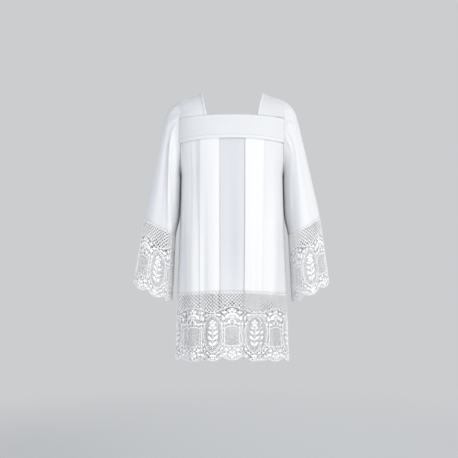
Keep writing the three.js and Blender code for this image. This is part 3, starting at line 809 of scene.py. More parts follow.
def lace_repeat():
    """One repeat of the lace, laid flat and centred on a cartouche, from its heading (v = 0) to its edge."""
    pieces = []
    sweep = np.linspace(-PITCH / 2, PITCH / 2, 37)
    # Heading and trellis ground.
    for v, width in ((1.2, 3.0), (4.4, 1.5)):
        pieces.append(cord(np.stack([sweep[::2], np.full(19, v)], axis=1), width, 0.8))
    pieces += net(lambda u, v: v < swag(u) - 0.5, (-PITCH / 2, PITCH / 2, 4.4, 68.0), PITCH / 11, 11.6,
                  2.0, 0.7, knot=2.9)
    pieces.append(cord(np.stack([sweep, swag(sweep)], axis=1), 3.0, 1.3))

    # Cartouche.
    pieces += net(in_cartouche, (-28, 28, 111.0, 178.0), 4.4, 4.4, 0.9, 0.5, stride=4)
    pieces.append(cord(cartouche_outline(), 3.0, 1.4, closed=True))

    # Medallion, with a plain spray of leaves and a blossom on its net.
    middle = PITCH / 2
    ring = oval_outline(middle, MEDALLION["v"], MEDALLION["half_u"], MEDALLION["half_v"], 56)
    pieces.append(cord(ring, 3.0, 1.5, closed=True))
    ring = oval_outline(middle, MEDALLION["v"], MEDALLION["half_u"] - 4.6, MEDALLION["half_v"] - 4.6, 48)
    pieces.append(cord(ring, 1.2, 0.8, closed=True))
    pieces += net(lambda u, v: in_medallion(u, v, -1.0), (middle - 33, middle + 33, 76.0, 197.0), 7.4, 7.4,
                  1.3, 0.55, knot=1.5, corners=4, stride=2)
    stem = np.linspace(185, 100, 12)
    pieces.append(cord(np.stack([middle + 1.5 * np.sin((stem - 100) / 27), stem], axis=1), 2.6, 1.3))
    for leaf in SPRAY:
        for way in (1, -1):
            reach, turn = leaf["length"] * 0.5, -90 + way * leaf["lean"]
            u = middle + way * 1.0 + reach * math.cos(math.radians(turn))
            v = leaf["v"] + reach * math.sin(math.radians(turn))
            outline = petal_outline(u, v, leaf["length"], leaf["width"], turn, 12, 0.35)
            pieces.append(padded_shape(outline, 1.4, 0.3))
    pieces += [(p + [0, 0, 0.25], f) for p, f in flower(middle, 102.0, 12.5, -90)]

    # Ground of wide diamonds behind the flowers.
    def open_ground(u, v):
        within = (v > swag(u) + 3) & (v < lower_edge(u) - 1)
        return within & ~in_cartouche(u, v, -0.5) & ~in_medallion(u, v, -0.5)

    pieces += net(open_ground, (-PITCH / 2, PITCH / 2, 48.0, LACE_DEPTH), PITCH / 10, 13.0, 1.8, 0.6)
    for way in (1, -1):
        for leaf in LEAVES:
            turn = leaf["turn"] if way == 1 else 180 - leaf["turn"]
            outline = petal_outline(way * leaf["u"], leaf["v"], leaf["length"], leaf["width"], turn, 10, 0.25)
            pieces.append(padded_shape(outline, 1.1, 0.3))
        for u0, v0, u1, v1 in BARS:
            bar = [(way * u0, v0), (way * (u0 + u1) / 2, (v0 + v1) / 2), (way * u1, v1)]
            pieces.append(cord(bar, 1.6, 0.9))
    for bloom in FLOWERS:
        pieces += flower(**bloom)

    # Scalloped edge: two cords and a row of picots.
    fine = np.linspace(-PITCH / 2, PITCH / 2, 61)
    pieces.append(cord(np.stack([fine, lower_edge(fine)], axis=1), 2.4, 1.2))
    pieces.append(cord(np.stack([fine[::2], lower_edge(fine[::2]) - 4.2], axis=1), 1.2, 0.8))
    for u in np.arange(-PITCH / 2 + 2.6, PITCH / 2, PITCH / 24):
        loop = oval_outline(u, float(lower_edge(u)) + 1.6, 1.7, 1.7, 7)
        pieces.append(cord(loop, 0.9, 0.7, closed=True, sides=3))
    return join_pieces(pieces)


def join_pieces(pieces):
    """Joins pieces, with their faces kept apart by their number of corners."""
    vertices, faces, offset = [], {}, 0
    for points, groups in pieces:
        vertices.append(points)
        for group in groups:
            faces.setdefault(group.shape[1], []).append(group + offset)
        offset += len(points)
    return np.concatenate(vertices), {n: np.concatenate(groups) for n, groups in faces.items()}


def lace_length(repeat, centres, low=None, high=None):
    """Repeats set side by side, cut off below low and above high."""
    points, faces = repeat
    everything = np.concatenate([points + [c, 0, 0] for c in centres])
    joined = {n: np.concatenate([f + k * len(points) for k in range(len(centres))]) for n, f in faces.items()}
    if low is not None:
        u = everything[:, 0]
        for n, f in joined.items():
            keep = (u[f].max(axis=1) > low + 0.01) & (u[f].min(axis=1) < high - 0.01)
            joined[n] = f[keep]
        everything[:, 0] = np.clip(u, low, high)
        used = np.unique(np.concatenate([f.ravel() for f in joined.values()]))
        renumber = np.zeros(len(everything), int)
        renumber[used] = np.arange(len(used))
        everything = everything[used]
        joined = {n: renumber[f] for n, f in joined.items()}
    return everything, joined


def lay_on(surface, normals, place_u, place_v, lift):
    """Moves flat lace onto a grid of points: place_u and place_v are grid columns and rows, not rounded."""
    rows, columns = surface.shape[:2]
    j = np.clip(place_v, 0, rows - 1.001)
    i = np.clip(place_u, 0, columns - 1.001)
    jj, ii = j.astype(int), i.astype(int)
    fj, fi = (j - jj)[:, None], (i - ii)[:, None]

    def read(grid):
        top = (1 - fi) * grid[jj, ii] + fi * grid[jj, ii + 1]
        low = (1 - fi) * grid[jj + 1, ii] + fi * grid[jj + 1, ii + 1]
        return (1 - fj) * top + fj * low

    normal = unit(read(normals))
    # Above the first row and below the last, carry on straight.
    over = (place_v - j)[:, None]
    down = read(np.gradient(surface, axis=0))
    return read(surface) + down * over + normal * lift[:, None]


def all_faces(faces):
    out = []
    for group in faces.values():
        out += group.tolist()
    return out


# ---- Shader groups ----
def new_group(name, inputs, outputs):
    """An empty shader group with named sockets."""
    group = bpy.data.node_groups.new(name, "ShaderNodeTree")
    for label, kind, default in inputs:
        socket = group.interface.new_socket(label, in_out="INPUT", socket_type=kind)
        if default is not None:
            socket.default_value = default
    for label, kind in outputs:
        group.interface.new_socket(label, in_out="OUTPUT", socket_type=kind)
    return group, group.nodes.new("NodeGroupInput"), group.nodes.new("NodeGroupOutput")


def maths(nodes, links, operation, first, second=None):
    """A maths node whose inputs are sockets or numbers."""
    node = nodes.new("ShaderNodeMath")
    node.operation = operation
    for k, value in enumerate((first, second)):
        if value is None:
            continue
        if hasattr(value, "is_linked"):
            links.new(value, node.inputs[k])
        else:
            node.inputs[k].default_value = value
    return node.outputs[0]


def noise(nodes, links, place, scale=5.0, detail=2.0):
    """Soft random values at a place."""
    node = nodes.new("ShaderNodeTexNoise")
    node.inputs["Scale"].default_value = scale
    node.inputs["Detail"].default_value = detail
    links.new(place, node.inputs["Vector"])
    return node


def weave_group():
    """Plain weave along the cloth's own threads, with slubs, as a height and a shade."""
    group, source, sink = new_group(
        "plain_weave",
        [("Coordinates", "NodeSocketVector", None), ("Threads per metre", "NodeSocketFloat", 1800.0),
         ("Slubs", "NodeSocketFloat", 0.4)],
        [("Height", "NodeSocketFloat"), ("Shade", "NodeSocketFloat")],
    )
    nodes, links = group.nodes, group.links
    waves = []
    for axis in ("X", "Y"):
        wave = nodes.new("ShaderNodeTexWave")
        wave.bands_direction = axis
        wave.inputs["Distortion"].default_value = 0.6
        wave.inputs["Detail"].default_value = 1.0
        links.new(source.outputs["Coordinates"], wave.inputs["Vector"])
        pitch = maths(nodes, links, "MULTIPLY", source.outputs["Threads per metre"], 0.05)
        links.new(pitch, wave.inputs["Scale"])
        waves.append(wave.outputs["Fac"])
    slub = noise(nodes, links, source.outputs["Coordinates"], 160.0, 3.0)
    woven = maths(nodes, links, "MULTIPLY", waves[0], waves[1])
    uneven = maths(nodes, links, "MULTIPLY", slub.outputs["Fac"], source.outputs["Slubs"])
    links.new(maths(nodes, links, "ADD", woven, uneven), sink.inputs["Height"])
    links.new(slub.outputs["Fac"], sink.inputs["Shade"])
    return group


def crumple_group():
    """Soft unevenness that pressing leaves in thin cotton: long along the grain, short across it."""
    group, source, sink = new_group(
        "soft_crumple",
        [("Coordinates", "NodeSocketVector", None), ("Size", "NodeSocketFloat", 14.0)],
        [("Height", "NodeSocketFloat")],
    )
    nodes, links = group.nodes, group.links
    stretch = nodes.new("ShaderNodeVectorMath")
    stretch.operation = "MULTIPLY"
    stretch.inputs[1].default_value = (1.0, 1.0, 0.22)
    links.new(source.outputs["Coordinates"], stretch.inputs[0])
    soft = noise(nodes, links, stretch.outputs[0], detail=2.5)
    soft.inputs["Roughness"].default_value = 0.45
    links.new(source.outputs["Size"], soft.inputs["Scale"])
    links.new(soft.outputs["Fac"], sink.inputs["Height"])
    return group


def bump(nodes, links, height, strength, distance, normal=None):
    node = nodes.new("ShaderNodeBump")
    node.inputs["Strength"].default_value = strength
    node.inputs["Distance"].default_value = distance
    links.new(height, node.inputs["Height"])
    if normal is not None:
        links.new(normal, node.inputs["Normal"])
    return node.outputs["Normal"]


def new_material(name, roughness, sheen):
    material = bpy.data.materials.new(name)
    material.use_nodes = True
    nodes, links = material.node_tree.nodes, material.node_tree.links
    shader = nodes["Principled BSDF"]
    shader.inputs["Roughness"].default_value = roughness
    shader.inputs["Sheen Weight"].default_value = sheen
    shader.inputs["Sheen Roughness"].default_value = 0.45
    shader.inputs["Specular IOR Level"].default_value = 0.2
    return material, nodes, links, shader


def group_node(nodes, name, builder):
    node = nodes.new("ShaderNodeGroup")
    node.node_tree = bpy.data.node_groups.get(name) or builder()
    return node


def cotton(name, thin, dense, threads=1800.0, crumple=0.5):
    """White cotton whose colour carries painted shade: the darker thin colour where it is single, the dense
    colour where it is layered or doubled.
    """
    material, nodes, links, shader = new_material(name, 0.82, 0.12)
    layering_and_shade, cut = nodes.new("ShaderNodeAttribute"), nodes.new("ShaderNodeAttribute")
    layering_and_shade.attribute_name, cut.attribute_name = "layering_and_shade", "cut"
    place = nodes.new("ShaderNodeTexCoord")
    weave = group_node(nodes, "plain_weave", weave_group)
    weave.inputs["Threads per metre"].default_value = threads
    links.new(cut.outputs["Vector"], weave.inputs["Coordinates"])
    soft = group_node(nodes, "soft_crumple", crumple_group)
    links.new(place.outputs["Object"], soft.inputs["Coordinates"])
    mix = nodes.new("ShaderNodeMix")
    mix.data_type = "RGBA"
    mix.inputs["A"].default_value = (*thin, 1.0)
    mix.inputs["B"].default_value = (*dense, 1.0)
    links.new(layering_and_shade.outputs["Fac"], mix.inputs["Factor"])
    shade = nodes.new("ShaderNodeMapRange")
    shade.inputs["To Min"].default_value = 0.965
    shade.inputs["To Max"].default_value = 1.02
    links.new(weave.outputs["Shade"], shade.inputs["Value"])
    tone = nodes.new("ShaderNodeVectorMath")
    tone.operation = "SCALE"
    links.new(mix.outputs["Result"], tone.inputs[0])
    links.new(shade.outputs["Result"], tone.inputs["Scale"])
    links.new(tone.outputs[0], shader.inputs["Base Color"])
    normal = bump(nodes, links, soft.outputs["Height"], crumple, 0.004)
    normal = bump(nodes, links, weave.outputs["Height"], 0.35, 0.00012, normal)
    links.new(normal, shader.inputs["Normal"])
    return material


def lace_cotton(name, colour):
    """Matte corded thread, with the fine unevenness of close stitches."""
    material, nodes, links, shader = new_material(name, 0.88, 0.1)
    place = nodes.new("ShaderNodeTexCoord")
    twist = noise(nodes, links, place.outputs["Object"], 900.0)
    patch = noise(nodes, links, place.outputs["Object"], 30.0)
    ramp = nodes.new("ShaderNodeMix")
    ramp.data_type = "RGBA"
    ramp.inputs["A"].default_value = (*(0.93 * c for c in colour), 1.0)
    ramp.inputs["B"].default_value = (*colour, 1.0)
    links.new(patch.outputs["Fac"], ramp.inputs["Factor"])
    links.new(ramp.outputs["Result"], shader.inputs["Base Color"])
    links.new(bump(nodes, links, twist.outputs["Fac"], 0.5, 0.0003), shader.inputs["Normal"])
    return material


def material(kind):
    """The garment's materials, each made once from the panel's colours."""
    found = bpy.data.materials.get(kind)
    if found:
        return found
    looks = bpy.context.scene.surplice_cloth
    if kind == "panel_cotton":
        return cotton(kind, looks.thin_shaded_colour, looks.dense_colour)
    if kind == "tape_cotton":
        return cotton(kind, looks.tape_colour, looks.tape_colour, 2400.0, 0.25)
    if kind == "lace_cotton":
        return lace_cotton(kind, looks.lace_colour)
    # The stitches' material: sewing thread darkened as painted shade.
    return lace_cotton(kind, looks.stitch_shaded_colour)


# ---- Settings ----
def thickness_setting(name, description, default, low, high):
    return FloatProperty(name=name, description=description, default=default, min=low, max=high,
                         precision=4, unit="LENGTH")


def colour_setting(name, description, default):
    return FloatVectorProperty(name=name, description=description, default=default, min=0.0, max=1.0,
                               size=3, subtype="COLOR")


def power_setting(name, description, default):
    return FloatProperty(name=name, description=description, default=default, min=0.0, max=500.0,
                         unit="POWER")


class SurpliceCloth(PropertyGroup):
    cloth_thickness: thickness_setting(
        "Cloth thickness", "Thickness of the panels, shoulders and sleeves", 0.0006, 0.0003, 0.002)
    yoke_thickness: thickness_setting(
        "Yoke thickness", "Thickness of the doubled yokes", 0.0018, 0.001, 0.003)
    tape_thickness: thickness_setting(
        "Tape thickness", "Thickness of the narrow tapes", 0.0007, 0.0003, 0.0015)
    # The single cloth's darker colour is painted shade, as if from behind showing through.
    thin_shaded_colour: colour_setting(
        "Single cloth", "Colour where one thin layer lets the shade behind it through", (0.63, 0.645, 0.675))
    dense_colour: colour_setting(
        "Layered cloth", "Colour where the cloth is doubled or pleated", (0.775, 0.78, 0.79))
    tape_colour: colour_setting("Tape", "Colour of the narrow tapes", (0.72, 0.73, 0.75))
    lace_colour: colour_setting("Lace", "Colour of the lace thread", (0.93, 0.93, 0.935))
    # The stitches are darker than the lace thread as painted shade.
    stitch_shaded_colour: colour_setting("Stitches", "Colour of the sewing thread", (0.68, 0.69, 0.71))


class SurpliceStage(PropertyGroup):
    camera_distance: FloatProperty(
        name="Camera distance", description="From the camera to the plane of the shoulders",
        default=3.0, min=1.0, max=10.0, unit="LENGTH")
    camera_height: FloatProperty(
        name="Camera height", description="Height of the camera, level with the middle of the garment",
        default=-0.464, min=-2.0, max=1.0, unit="LENGTH")
    lens: FloatProperty(
        name="Lens", description="Focal length of the camera", default=68.35, min=20.0, max=200.0,
        subtype="DISTANCE_CAMERA")
    backdrop: colour_setting("Backdrop", "Colour of the pale surroundings", (0.60, 0.61, 0.625))
    ambient: FloatProperty(
        name="Ambient light", description="Strength of the light from all round",
        default=0.66, min=0.0, max=3.0)
    key: power_setting("Key light", "Power of the soft light at the front right", 70.0)
    fill: power_setting("Fill light", "Power of the soft light at the front left", 34.0)


# ---- Operators ----
class SURPLICE_OT_panels(Operator):
    """Cut and pleat the front and back panels."""

    bl_idname = "surplice.panels"
    bl_label = "Front and back panels"

    def execute(self, context):
        looks = context.scene.surplice_cloth
        heights = np.concatenate([[YOKE_FOOT + 6.0, YOKE_FOOT + 0.5],
                                  np.linspace(YOKE_FOOT - 3.0, LACE_TOP + 0.3, 62)])
        for side in ("front", "back"):
            surface = pleated_surface(side, heights, YOKE_FOOT)
            normals = panel_normals(surface["points"])
            piece = shell(f"{side}_cloth", surface, normals, looks.cloth_thickness / MM,
                          material("panel_cotton"), tint=surface["tint"])
            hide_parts(f"{side}_panel")
        return {"FINISHED"}


def panel_normals(points):
    """Normals across the cloth's own path, which turn right over in a pleat."""
    along = np.gradient(points, axis=1)
    down = np.gradient(points, axis=0)
    normals = unit(np.cross(along, down))
    # At the centre line the cloth faces straight out.
    middle = points.shape[1] // 2
    if np.sum(normals[:, middle] * points[:, middle] * [0, 1, 0]) < 0:
        normals = -normals
    return normals


def yoke_heights(x):
    """Top and bottom of a yoke at a distance from the centre line."""
    share = (x / ARMHOLE_X) ** 2
    bottom = YOKE_BOTTOM["centre"] - YOKE_OVERHANG - YOKE_BOTTOM["droop"] * share
    return YOKE_TOP["centre"] - YOKE_TOP["droop"] * share, bottom


def yoke_grid(side, shares, columns=90, over=0.0):
    """Points on a yoke at shares of its height from the top, or at distances from an edge.

    A share is a number, or a pair of an edge name and a distance up from that edge.
    """
    plan = PLANS[side]
    u = np.linspace(-1, 1, columns)
    x_row, length = plan_row(plan, YOKE_FOOT)
    x = np.interp(np.abs(u), np.linspace(0, 1, len(x_row)), x_row)
    top, bottom = yoke_heights(x)
    rows, flats = [], []
    for share in shares:
        if isinstance(share, tuple):
            edge, rise = share
            z, out, down = (top if edge == "top" else bottom) + rise, over, -rise
        else:
            z, down = top + (bottom - top) * share, share * YOKE_CUT
            # The doubled edges are a touch thicker, and the pleats push the lower edge out.
            out = over + 0.4 * math.exp(-((share / 0.12) ** 2))
            out += 0.2 * math.exp(-(((1 - share) / 0.14) ** 2))
        ends = np.array([plan_row(plan, value)[1] for value in z])
        rows.append(push_out(on_body(plan, u * ends, 0.0, z), YOKE_OUT + out))
        flats.append(np.stack([u * length, np.full_like(u, down)], axis=-1))
    return dict(points=np.array(rows), flat=np.array(flats))


def direction_out(points):
    """Directions away from the middle of the body, in the points' own X planes."""
    direction = points * [0.0, 1.0, 0.0]
    direction[:, 2] = 0.22 * (points[:, 2] - UNDERARM)
    return unit(direction)


def push_out(points, distance):
    """Moves points away from the middle of the body in their own X plane, as the yokes are laid."""
    return points + direction_out(points) * distance


class SURPLICE_OT_yokes(Operator):
    """Cut the front and back yokes from doubled cloth."""

    bl_idname = "surplice.yokes"
    bl_label = "Yokes"

    def execute(self, context):
        looks = context.scene.surplice_cloth
        for side in ("front", "back"):
            surface = yoke_grid(side, list(np.linspace(0, 1, 15)))
            outward = surface["points"] * [0.0, 1.0, 0.0]
            normals = sheet_normals(surface["points"], outward)
            piece = shell(f"yoke_{side}_cloth", surface, normals, looks.yoke_thickness / MM,
                          material("panel_cotton"), tint=YOKE_LAYERING_AND_SHADE)
            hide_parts(f"yoke_{side}")
        return {"FINISHED"}


def shoulder_grid(side, us, columns=46, out=SHOULDER_OUT, crumple=True):
    """Points on a shoulder piece: u from the neck to the armhole, and v over the ridge from front to back."""
    across = -1.0 if side == "left" else 1.0
    v = np.linspace(0, 1, columns)
    rows, flats = [], []
    for u in us:
        along = 1 - np.abs(2 * v - 1)
        neck_x = NECK_AT_YOKE + (NECK_AT_RIDGE - NECK_AT_YOKE) * np.sin(along * np.pi / 2)
        x = neck_x + (ARMHOLE_X - neck_x) * u
        foot = yoke_heights(x)[0] + 0.2
        ridge = ARMHOLE_TOP * u - RIDGE_SLOPE * (neck_x - NECK_AT_RIDGE) * (1 - u)
        middle = (YOKE_TOP["centre"] - 25) * (1 - u) + (ARMHOLE_TOP + UNDERARM) / 2 * u
        points = []
        for k in range(columns):
            plan = PLANS["front" if v[k] < 0.5 else "back"]
            x_row, length = plan_row(plan, foot[k])
            y_row = on_body(plan, np.linspace(0, length, len(x_row)), 0.0, foot[k])[:, 1]
            foot_y = abs(np.interp(x[k], x_row, y_row))
            rise = ridge[k] - middle
            foot_angle = math.asin((foot[k] - middle) / rise)
            reach = foot_y / math.cos(foot_angle)
            angle = foot_angle + (math.pi / 2 - foot_angle) * along[k]
            forward = -1.0 if v[k] < 0.5 else 1.0
            points.append((across * x[k], forward * reach * math.cos(angle), middle + rise * math.sin(angle)))
        points = np.array(points)
        direction = unit(np.stack([np.zeros(columns), points[:, 1], points[:, 2] - UNDERARM], axis=1))
        drape = 0.0
        if crumple:
            # Small puckers that run in from the armhole seam, and a slight hollow by the neck.
            wave = np.sin(v * 31.0 + 1.3) + 0.6 * np.sin(v * 57.0 + across)
            drape = 1.3 * wave * eased((u - 0.45) / 0.4) - 1.0 * np.sin(np.pi * u) * np.sin(np.pi * v) ** 2
        rows.append(points + direction * (out + np.reshape(drape, (-1, 1)) if crumple else out))
        flats.append(np.stack([np.full(columns, u * SHOULDER_CUT[0]), v * SHOULDER_CUT[1]], axis=-1))
    return dict(points=np.array(rows), flat=np.array(flats))


class SURPLICE_OT_shoulders(Operator):
    """Cut the two shoulder pieces that join the yokes."""

    bl_idname = "surplice.shoulders"
    bl_label = "Shoulder pieces"

    def execute(self, context):
        looks = context.scene.surplice_cloth
        for side in ("left", "right"):
            surface = shoulder_grid(side, np.linspace(0, 1.025, 22))
            outward = surface["points"] * [0.0, 1.0, 0.0] + [0.0, 0.0, 60.0]
            normals = sheet_normals(surface["points"], outward)
            piece = shell(f"shoulder_{side}_cloth", surface, normals, looks.cloth_thickness / MM,
                          material("panel_cotton"), tint=SHOULDER_LAYERING_AND_SHADE[side])
            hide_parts(f"shoulder_{side}")
        return {"FINISHED"}


def sleeve_layering_and_shade(side, stations):
    """Painted shade on sleeves: darker on the outer part, whiter where they lie double against the body, from
    a crisp fold in front and behind.
    """
    even = np.arange(SLEEVE_COLUMNS)[None, :] / SLEEVE_COLUMNS
    t = np.asarray(stations)[:, None]
    look = SLEEVE_LAYERING_AND_SHADE[side]
    tint = np.full((len(stations), SLEEVE_COLUMNS), look["outer"])
    for fold in SLEEVE_FOLDS[side]:
        if "crisp" not in fold:
            continue
        edge = np.polyval(np.polyfit(fold["t"], fold["at"], 2), t)
        doubled = eased((edge - even) * fold["crisp"] / 0.006 + 0.5) * (np.abs(edge - even) < 0.4)
        tint = np.maximum(tint, look["outer"] + (1.0 - look["outer"]) * doubled * eased((t - 0.03) / 0.08))
    # Painted shade along the underarm.
    near = np.minimum(even, 1 - even) - 0.025
    return tint - look["seam"] * (1 - eased(near / look["fade"])) * eased((t - 0.03) / 0.1)


class SURPLICE_OT_sleeves(Operator):
    """Cut the two wide sleeves and set them into the armholes."""

    bl_idname = "surplice.sleeves"
    bl_label = "Sleeves"

    def execute(self, context):
        looks = context.scene.surplice_cloth
        stations = np.concatenate([[0.0, 0.004, 0.012], np.linspace(0.022, CUFF_SEAM - 0.0006, 66)])
        for side in ("left", "right"):
            surface = sleeve_surface(side, stations, SLEEVE_COLUMNS)
            points = surface["points"]
            # The seam allowance runs in under the shoulder, the yokes and the panels.
            points[0] = points[1]
            points[0][:, 0] *= (ARMHOLE_X - 3.0) / np.abs(points[0][:, 0])
            normals = ring_normals(points)
            tint = sleeve_layering_and_shade(side, stations)
            piece = shell(f"sleeve_{side}_cloth", surface, normals, looks.cloth_thickness / MM,
                          material("panel_cotton"), closed=True, tint=tint)
            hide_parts(f"sleeve_{side}")
        return {"FINISHED"}


def work_lace(name, points, normals, place_u, flat, faces):
    """Lays flat lace on a grid that runs from its heading to its edge, and makes it a piece."""
    place_v = flat[:, 1] / LACE_DEPTH * (len(points) - 1)
    laid = lay_on(points, normals, place_u, place_v, RELIEF * flat[:, 2] - LACE_SINK)
    return new_piece(name, laid, all_faces(faces), material("lace_cotton")), laid


class SURPLICE_OT_hem_lace(Operator):
    """Work the deep lace of the hem and pleat it with the panels."""

    bl_idname = "surplice.hem_lace"
    bl_label = "Hem lace"

    def execute(self, context):
        repeat = lace_repeat()
        heights = np.linspace(LACE_TOP, HEM, 26)
        for side in ("front", "back"):
            surface = pleated_surface(side, heights, LACE_TOP, dense=HEM_COLUMNS)
            points = surface["points"]
            normals = panel_normals(points)
            edge = HEM_REPEATS * PITCH / 2
            centres = [k * PITCH for k in range(-HEM_REPEATS // 2 - 1, HEM_REPEATS // 2 + 1)]
            flat, faces = lace_length(repeat, centres, -edge, edge)
            place_u = (flat[:, 0] / edge + 1) * HEM_COLUMNS
            piece, laid = work_lace(f"hem_lace_{side}_work", points, normals, place_u, flat, faces)
            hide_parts(f"hem_lace_{side}")
        return {"FINISHED"}


class SURPLICE_OT_cuff_lace(Operator):
    """Work the deep lace of the two cuffs."""

    bl_idname = "surplice.cuff_lace"
    bl_label = "Cuff lace"

    def execute(self, context):
        repeat = lace_repeat()
        stations = np.linspace(CUFF_SEAM, 1.0, 24)
        whole = CUFF_REPEATS * PITCH
        for side in ("left", "right"):
            surface = sleeve_surface(side, stations, CUFF_COLUMNS)
            points = surface["points"]
            normals = ring_normals(points)
            points = np.concatenate([points, points[:, :1]], axis=1)
            normals = np.concatenate([normals, normals[:, :1]], axis=1)
            # A medallion lies in the middle of the front.
            shift = CUFF_MIDDLE[side] * whole - 1.5 * PITCH
            flat, faces = lace_length(repeat, [k * PITCH + shift for k in range(CUFF_REPEATS)])
            place_u = (flat[:, 0] % whole) / whole * CUFF_COLUMNS
            piece, laid = work_lace(f"cuff_lace_{side}_work", points, normals, place_u, flat, faces)
            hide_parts(f"cuff_lace_{side}")
        return {"FINISHED"}


class SURPLICE_OT_tapes(Operator):
    """Stitch narrow tapes along the yokes and the neck."""

    bl_idname = "surplice.tapes"
    bl_label = "Tapes"

    def execute(self, context):
        looks = context.scene.surplice_cloth
        thickness = looks.tape_thickness / MM
        for side in ("front", "back"):
            for edge, low, high in (("top", -9.0, 0.8), ("bottom", -0.8, 12.0)):
                rises = [(edge, float(rise)) for rise in (*np.linspace(high, low + 0.5, 5), low)]
                surface = yoke_grid(side, rises, over=TAPE_OUT)
                if edge == "bottom":
                    # The lower edge is turned in to the cloth.
                    surface["points"][-1][:, 1] *= 1 - 1.1 / np.abs(surface["points"][-1][:, 1])
                normals = sheet_normals(surface["points"], surface["points"] * [0.0, 1.0, 0.0])
                piece = shell(f"yoke_{side}_{edge}_band", surface, normals, thickness,
                              material("tape_cotton"), tint=1.0)
                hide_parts(f"yoke_tape_{side}_{edge}")
        for side in ("left", "right"):
            surface = neck_binding(side)
            piece = shell(f"neck_{side}_band", surface, sheet_normals(surface["points"], surface["outward"]),
                          thickness, material("tape_cotton"), tint=1.0)
            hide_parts(f"neck_tape_{side}")
        return {"FINISHED"}


def stitch_row(points, normals, length=2.8, gap=1.4, width=0.55, height=0.4):
    """Small raised stitches along a line of points."""
    along = np.concatenate([[0], np.cumsum(np.linalg.norm(np.diff(points, axis=0), axis=1))])
    count = max(int(along[-1] / (length + gap)), 1)
    middle = (np.arange(count) + 0.5) * along[-1] / count

    def at(grid, where):
        return np.stack([np.interp(where, along, grid[:, k]) for k in range(3)], axis=1)

    start, stop = at(points, middle - length / 2), at(points, middle + length / 2)
    centre, normal = (start + stop) / 2, at(normals, middle)
    way = stop - start
    across = unit(np.cross(normal, way))
    corners = np.stack([start, stop, centre + across * width / 2, centre + normal * height,
                        centre - across * width / 2, centre - normal * 0.3 * height], axis=1)
    pattern = np.array([(0, 2, 3), (0, 3, 4), (0, 4, 5), (0, 5, 2),
                        (1, 3, 2), (1, 4, 3), (1, 5, 4), (1, 2, 5)])
    faces = (np.arange(count)[:, None, None] * 6 + pattern).reshape(-1, 3)
    return corners.reshape(-1, 3), [faces]


class SURPLICE_OT_stitches(Operator):
    """Sew the rows of stitches along the tapes, the hems and the cuffs."""

    bl_idname = "surplice.stitches"
    bl_label = "Stitches"

    def execute(self, context):
        looks = context.scene.surplice_cloth
        proud = looks.cloth_thickness / MM / 2
        rows = {"yoke": [], "neck": [], "hem": [], "cuff": []}
        for side in ("front", "back"):
            for place in (("top", -0.6), ("top", -7.6), ("bottom", 1.0), ("bottom", 10.6)):
                points = yoke_grid(side, [place], 160, TAPE_OUT + looks.tape_thickness / MM / 2)["points"][0]
                rows["yoke"].append(stitch_row(points, direction_out(points)))
            grid = pleated_surface(side, [LACE_TOP + 5.0, LACE_TOP + 4.0], YOKE_FOOT)["points"]
            normals = panel_normals(grid)[0]
            rows["hem"].append(stitch_row(grid[0] + normals * proud, normals))
        for side in ("left", "right"):
            grid = sleeve_surface(side, [CUFF_SEAM - 0.012, CUFF_SEAM - 0.009], 360)["points"]
            normals = ring_normals(grid)[0]
            rows["cuff"].append(stitch_row(grid[0] + normals * proud, normals))
            on_tape = 1.0 + looks.tape_thickness / MM / 2
            for u, lift, crumple in ((0.068, on_tape, False), (0.95, proud, True)):
                points = shoulder_grid(side, [u], 90, SHOULDER_OUT + lift, crumple)["points"][0]
                rows["neck"].append(stitch_row(points, direction_out(points)))
        for place, made in rows.items():
            points, faces = join_pieces(made)
            new_piece(f"stitches_{place}", points, all_faces(faces), material("shaded_stitch_thread"))
        return {"FINISHED"}


# The way of a neck tape round the edge: how far from it (as a share of the shoulder's width) and how far out.
BINDING = ((0.080, 0.95), (0.040, 1.05), (0.000, 1.0), (-0.012, 0.6), (-0.016, 0.0), (-0.012, -0.6),
           (0.000, -1.0), (0.035, -1.05), (0.065, -1.0))


def neck_binding(side):
    """Points on a narrow tape that is folded over the neck edge of a shoulder piece."""
    points = np.array([shoulder_grid(side, [u], out=SHOULDER_OUT + lift, crumple=False)["points"][0]
                       for u, lift in BINDING])
    along = np.concatenate([[0], np.cumsum(np.linalg.norm(np.diff(points, axis=0), axis=2).mean(axis=1))])
    length = np.linspace(0, SHOULDER_CUT[1], points.shape[1])
    flat = np.stack(np.broadcast_arrays(along[:, None], length[None, :]), axis=-1)
    middle = points.mean(axis=0)[None]
    return dict(points=points, flat=flat, outward=points - middle)


def pale_world(scene, backdrop, ambient):
    """Even pale light from all round."""
    world = bpy.data.worlds.new("pale_room")
    world.use_nodes = True
    nodes, links = world.node_tree.nodes, world.node_tree.links
    sky = nodes["Background"]
    sky.inputs["Color"].default_value = (*backdrop, 1.0)
    lit = nodes.new("ShaderNodeBackground")
    lit.inputs["Color"].default_value = (0.94, 0.965, 1.0, 1.0)
    lit.inputs["Strength"].default_value = ambient
    path = nodes.new("ShaderNodeLightPath")
    mix = nodes.new("ShaderNodeMixShader")
    links.new(path.outputs["Is Camera Ray"], mix.inputs["Fac"])
    links.new(lit.outputs[0], mix.inputs[1])
    links.new(sky.outputs[0], mix.inputs[2])
    links.new(mix.outputs[0], nodes["World Output"].inputs["Surface"])
    scene.world = world


